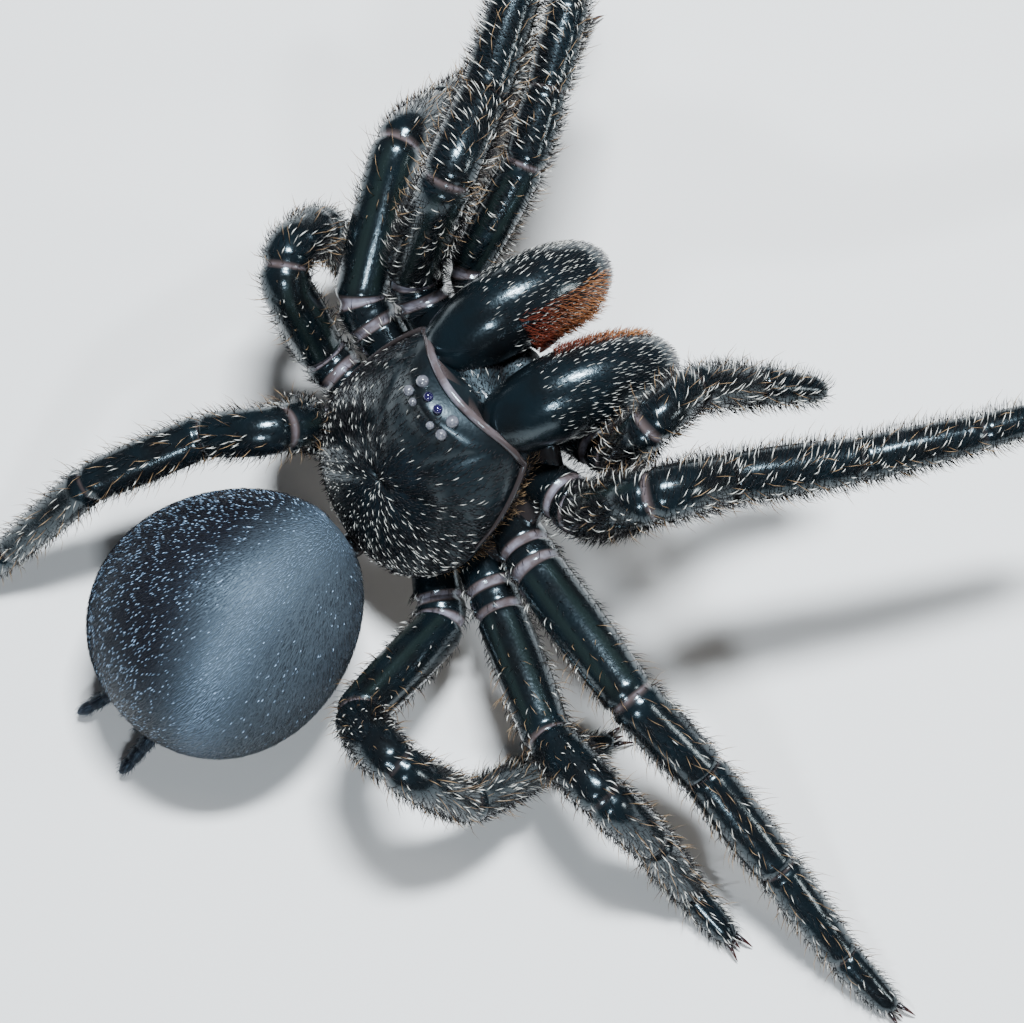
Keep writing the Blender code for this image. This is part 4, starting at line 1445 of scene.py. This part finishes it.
def limb_bristles(form, standing):
    """Bristles of one limb, denser towards its tip; on a standing coat they lean across the limb."""
    row, column = form.scatter(LIMB_SPACING, draw, 0.12, 0.995)
    along = np.interp(row, np.arange(len(form.along)), form.along)
    rows, columns = form.points.shape[:2]
    i = np.clip(row.astype(int), 0, rows - 1)
    j = np.floor(column).astype(int) % columns
    start, knee = form.path.joints[1], form.path.joints[2]
    femur_share = FEMUR_DENSITY["standing" if standing else "leaning"]
    outer_share = OUTER_DENSITY["smooth" if form.name in SMOOTH else "hairy"]
    density = np.where(along < start, COXA_DENSITY, np.where(along < knee, femur_share, outer_share))
    hard = (form.stripe[i, j] < STRIPE_BARE) & (form.membrane[i, j] < MEMBRANE_BARE)
    kept = (pick(0, 1, len(row)) < density) & hard
    row, column, along = row[kept], column[kept], along[kept]
    if not standing:
        _, normal, _ = form.sample(row, column)
        kept = pick(0, 1, len(row)) > TOP_BARE * (normal[:, 2] - 0.5)
        row, column, along = row[kept], column[kept], along[kept]
    count = len(row)
    outer = np.clip((along - start) / (form.path.length - start), 0, 1)
    glint = pick(0, 1, count) < np.where(along < start, 0.12, 0.08 + 0.14 * outer)
    lean = pick(0.9, 1.4, count) if standing else pick(-0.6, 0.6, count)
    return bristles(
        f"{form.name}_bristles", form, (row, column),
        length=pick(0.25, 0.45, count) * (1.35 if standing else 1.05),
        width=np.where(glint, 0.025, 0.014) * pick(0.8, 1.1, count),
        lift=pick(0.45, 1.0, count), bend=pick(0.1, 0.5, count), swing=lean,
        tone=glint * pick(0.5, 1, count), finish=bristle_dark,
    )


def limb_spines(form):
    """Sparse long brown bristles that break the outline of a limb."""
    row, column = form.scatter(SPINE_SPACING, draw, 0.3, 0.93)
    return bristles(
        f"{form.name}_spines", form, (row, column),
        **sizes(
            len(row), length=(0.55, 0.95), width=(0.013, 0.019), lift=(0.7, 1.2),
            bend=(0.1, 0.5), swing=(-0.7, 0.7), tone=(0.1, 0.5),
        ),
        finish=bristle_brown,
    )


for form in limbs.values():
    coats += limb_bristles(form, form.name in STANDING)
    coats += limb_spines(form)
print("coat pieces:", len(coats), "faces:", sum(len(coat.data.polygons) for coat in coats))

# %% [markdown]
# ## Bristles of the chelicerae
# The jaws carry neat rows of short hairs that all point forward, thinner at the roots, and a red and
# golden fringe hangs from their inner faces. Rows come from the form's own grid, and the fringe keeps
# only the places whose face looks inward.

# %% Bristles of the chelicerae
JAW_SPACING = 0.135
FRINGE_SPACING = 0.1
FRINGE_LONGEST = {"left": 0.5, "right": 0.42}


def chelicera_bristles(side, form):
    """Forward rows over a jaw."""
    row, column = form.scatter(JAW_SPACING, draw, 0.3, 0.985, jitter=0.18)
    count = len(row)
    share = row / form.points.shape[0]
    kept = pick(0, 1, count) < np.interp(share, (0.3, 0.5, 0.7), (0.2, 0.6, 1.0))
    row, column = row[kept], column[kept]
    count = len(row)
    # Half of the hairs get pale tips, partly real pale hairs and partly painted glints.
    return bristles(
        f"chelicera_{side}_bristles", form, (row, column),
        **sizes(
            count, length=(0.2, 0.34), width=(0.011, 0.017), lift=(0.15, 0.4),
            bend=(0.05, 0.3), swing=(-0.12, 0.12),
        ),
        tone=(pick(0, 1, count) < 0.5) * pick(0.3, 1, count), finish=bristle_dark,
    )


def chelicera_fringe(side, form):
    """Red and golden fringe that hangs from the inner face of a jaw."""
    inner = -1 if side == "left" else 1
    row, column = form.scatter(FRINGE_SPACING, draw, 0.4, 0.8)
    _, normal, _ = form.sample(row, column)
    facing = normal @ (PROSOMA_LEFT * inner)
    kept = (facing > 0.5) & (np.abs(normal[:, 2]) < 0.75)
    row, column = row[kept], column[kept]
    count = len(row)
    gold = np.clip((row / form.points.shape[0] - 0.5) / 0.25, 0, 1)
    longest = FRINGE_LONGEST[side] * np.interp(normal[kept][:, 2], (-0.75, 0.2), (1.7, 1.0))
    return bristles(
        f"chelicera_{side}_fringe", form, (row, column),
        length=longest * pick(0.45, 1, count),
        **sizes(count, width=(0.012, 0.018), lift=(0.5, 1.25), bend=(0.1, 0.6), swing=(-0.6, 0.6)),
        tone=gold * pick(0.2, 1, count), finish=fringe_red,
    )


print("spacing of the rows on the jaws:", JAW_SPACING, "mm")

# %% [markdown]
# ## Bristles of the carapace, the snout and the flanks
# Short hairs on the shield all point in to its pit, and more of them are pale towards the rear. The
# brow and the snout are dark with a few pale ones, and soft brown ones fringe the flanks under the
# shield. These pale tips are partly real pale hairs and partly painted glints. One lie for each form
# would comb them straight, so the shield's hairs get their own aim.

# %% Bristles of the carapace
CARAPACE_SPACING = 0.17
SNOUT_SPACING = 0.11
FLANK_SPACING = 0.15


def carapace_bristles():
    """Short hairs over the shield that point in to its pit, densest at the rear sides."""
    row, column = carapace.scatter(CARAPACE_SPACING, draw, 0.03, 0.96, jitter=0.25)
    root, normal, _ = carapace.sample(row, column)
    pit = prosoma(FOVEA_FORWARD, 0.0, THORAX_HEIGHT)
    ahead = (root - pit) @ PROSOMA_FORWARD
    density = np.interp(ahead, (-1.5, 1.0, 3.0), (0.85, 0.75, 0.45))
    # More pale tips towards the rear, partly real pale hairs and partly painted glints.
    paler = np.interp(ahead, (-1.5, 0.5, 3.0), (0.3, 0.14, 0.05))
    kept = (normal @ PROSOMA_UP > 0.1) & (pick(0, 1, len(row)) < density)
    row, column, root, paler = row[kept], column[kept], root[kept], paler[kept]
    count = len(row)
    return bristles(
        "carapace_bristles", carapace, (row, column),
        **sizes(
            count, length=(0.25, 0.42), width=(0.016, 0.024), lift=(0.1, 0.3),
            bend=(0.05, 0.2), swing=(-0.25, 0.25),
        ),
        tone=(pick(0, 1, count) < paler) * pick(0.3, 0.8, count), finish=bristle_dark, lie=pit - root,
    )


def snout_bristles(form):
    """Dark hairs with a few pale ones between the lip and the jaws."""
    row, column = form.scatter(SNOUT_SPACING, draw, 0.05, 0.95)
    _, normal, _ = form.sample(row, column)
    kept = normal @ PROSOMA_UP > -0.2
    row, column = row[kept], column[kept]
    count = len(row)
    # A few pale tips, partly real pale hairs and partly painted glints.
    return bristles(
        f"{form.name}_bristles", form, (row, column),
        **sizes(
            count, length=(0.2, 0.4), width=(0.012, 0.018), lift=(0.5, 1.2),
            bend=(0.05, 0.4), swing=(-0.9, 0.9),
        ),
        tone=(pick(0, 1, count) < 0.07) * pick(0.5, 1, count), finish=bristle_dark,
    )


def flank_bristles():
    """Brown tufts on the soft flanks under the rim of the shield."""
    row, column = core.scatter(FLANK_SPACING, draw, 0.03, 0.97)
    _, normal, _ = core.sample(row, column)
    kept = (np.abs(normal @ PROSOMA_LEFT) > 0.3) & (normal @ PROSOMA_UP > -0.8)
    row, column = row[kept], column[kept]
    return bristles(
        "flank_bristles", core, (row, column),
        **sizes(
            len(row), length=(0.3, 0.55), width=(0.011, 0.016), lift=(0.6, 1.3),
            bend=(0.1, 0.6), swing=(-0.9, 0.9), tone=(0, 0.55),
        ),
        finish=bristle_brown,
    )


coats += flank_bristles()
for side, form in chelicerae.items():
    coats += chelicera_bristles(side, form)
    coats += chelicera_fringe(side, form)
coats += carapace_bristles() + snout_bristles(brow) + snout_bristles(rostrum)
print("coat pieces:", len(coats), "faces:", sum(len(coat.data.polygons) for coat in coats))

# %% [markdown]
# ## Eyes
# The eight eyes are glassy beads that sit half sunk in the mound at the front of the shield. They stay
# separate from the skin, because they are hard and smooth and need a finish of their own. A clear coat
# over a cloudy tint gives the wet look, and the front middle pair is violet.

# %% Eyes
EYES = (
    # name, forward, left, radius
    ("eye_front_middle", 3.42, 0.27, 0.2),
    ("eye_front_side", 3.45, 0.86, 0.26),
    ("eye_rear_side", 2.9, 0.94, 0.23),
    ("eye_rear_middle", 2.88, 0.5, 0.17),
)
EYE_SEAT = 0.1
EYE_SHARE = 0.85
EYE_CLOUD = 4000.0


def eye_finish(name, colour):
    """Wet bead with a cloudy tint."""
    made, tree, shader = new_finish(name, Roughness=0.06, Coat_Weight=1.0, Coat_Roughness=0.02)
    cloud = ramp(tree, grain(tree, EYE_CLOUD), 0.35, 0.65, 0, 1)
    darker = tuple(0.45 * part for part in colour)
    tree.links.new(blend_colour(tree, cloud, darker, colour), shader.inputs["Base Color"])
    return made


def bead(name, centre, radius, finish):
    """A smooth ball."""
    made = bmesh.new()
    bmesh.ops.create_icosphere(made, subdivisions=4, radius=radius)
    bmesh.ops.translate(made, vec=Vector(centre), verts=made.verts[:])
    data = bpy.data.meshes.new(name)
    made.to_mesh(data)
    made.free()
    data.transform(Matrix.Scale(MM, 4))
    data.shade_smooth()
    data.materials.append(finish)
    return placed(name, data)


eye_pearl = eye_finish("eye_pearl", (0.13, 0.13, 0.15))
eye_violet = eye_finish("eye_violet", (0.014, 0.011, 0.06))
for name, forward, left, radius in EYES:
    for side, hand in (("left", 1), ("right", -1)):
        seat = carapace_surface(np.array(forward), np.array(left)) + EYE_SEAT * radius
        finish = eye_violet if name == "eye_front_middle" else eye_pearl
        centre = prosoma(forward, hand * left, seat)
        eye = bead(f"{name}_{side}_bead", centre, radius * EYE_SHARE, finish)
        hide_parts(f"{name}_{side}")
        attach(eye, "root")
print("eyes:", 2 * len(EYES))

# %% [markdown]
# ## Fangs and claws
# The fangs curve from black to dark red, and each leg ends in a pair of hooked claws with a small
# third one between them. All are tapering tubes along a bent line, so one maker serves for both, and a
# share stored along each tube tells the finish how red it is.

# %% Fangs and claws
FANG_STEPS = 50
FANG_TIP = 0.03
FANG_BLACK = (0.006, 0.004, 0.005)
FANG_RED = (0.09, 0.016, 0.009)
CLAW_LENGTH = 0.55
CLAW_RADIUS = 0.1
CLAW_TIP = 0.012
CLAW_STEPS = 16


def fang_finish():
    """Glossy fang, black at its root and dark red towards its tip."""
    made, tree, shader = new_finish("fang_gloss", Roughness=0.24, Coat_Weight=0.15, Coat_Roughness=0.1)
    toward_tip = ramp(tree, mask_of(tree, "tip"), 0.15, 0.85, 0, 1)
    tree.links.new(blend_colour(tree, toward_tip, FANG_BLACK, FANG_RED), shader.inputs["Base Color"])
    return made


def solid_piece(form, finish, tip_values):
    """A separate smooth piece from a form, with the share along it at each of its rings."""
    piece = form.mesh_object()
    ring_values = np.repeat(tip_values, form.points.shape[1])
    store(piece.data, "tip", np.concatenate([ring_values, [0.0, 1.0]]))
    piece.data.transform(Matrix.Scale(MM, 4))
    piece.data.shade_smooth()
    piece.data.materials.append(finish)
    bpy.context.scene.collection.objects.link(piece)
    return piece


def fang_form(side):
    """Curved, tapering fang from under the tip of its jaw."""
    jaw = chelicerae[side]
    root = jaw.tip - jaw.aim * FANG_SETBACK + jaw.below * (CHELICERA_HALF_HEIGHT * 0.6)
    share = np.linspace(0, 1, FANG_STEPS)
    pitch = FANG_PITCH[0] + (FANG_PITCH[1] - FANG_PITCH[0]) * share
    steps = heading(np.full_like(share, jaw.bearing), pitch) * (FANG_LENGTH / (FANG_STEPS - 1))
    centres = root + np.cumsum(steps, axis=0)
    radii = FANG_RADIUS * (1 - share) ** 0.7 + FANG_TIP
    return tube_form(f"fang_{side}_curve", centres, radii, 28), share


def claw_forms(form):
    """Two long claws and a short one at the end of a leg."""
    centre, tangent, _ = form.path.at(form.path.length - form.radii[-1] * 0.4)
    side = unit(np.cross(tangent, WORLD_UP))
    radius = form.radii[-1]
    made = []
    for hand, size in ((-1, 1.0), (1, 1.0), (0, 0.5)):
        root = centre + side * (hand * radius * 0.45)
        level = np.array((tangent[0], tangent[1], max(tangent[2], -0.05)))
        aim = unit(level + side * (hand * 0.25))
        share = np.linspace(0, 1, CLAW_STEPS)
        hook = WORLD_UP * (0.12 * np.sin(share * math.pi) - 0.1 * share**2)[:, None]
        centres = root + aim * (share * (CLAW_LENGTH * size + radius * 0.6))[:, None] + hook * size
        centres[:, 2] = np.maximum(centres[:, 2], FLOOR_CLEARANCE)
        radii = CLAW_RADIUS * (1 - share) ** 0.8 * (0.6 + 0.4 * size) + CLAW_TIP
        made.append(tube_form(f"{form.name}_claw_{len(made) + 1}", centres, radii, 10))
    return made


fang_gloss = fang_finish()
for side in chelicerae:
    form, share = fang_form(side)
    fang = solid_piece(form, fang_gloss, share)
    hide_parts(f"fang_{side}")
    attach(fang, "root")
claw_count = 0
for name, form in limbs.items():
    if name.startswith("leg"):
        for claw_form in claw_forms(form):
            claw = solid_piece(claw_form, fang_gloss, np.linspace(0, 0.5, CLAW_STEPS))
            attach(claw, "root")
            claw_count += 1
print("fangs: 2, claws:", claw_count)

# %% [markdown]
# ## Finish

# %% Finish
bpy.context.view_layer.update()
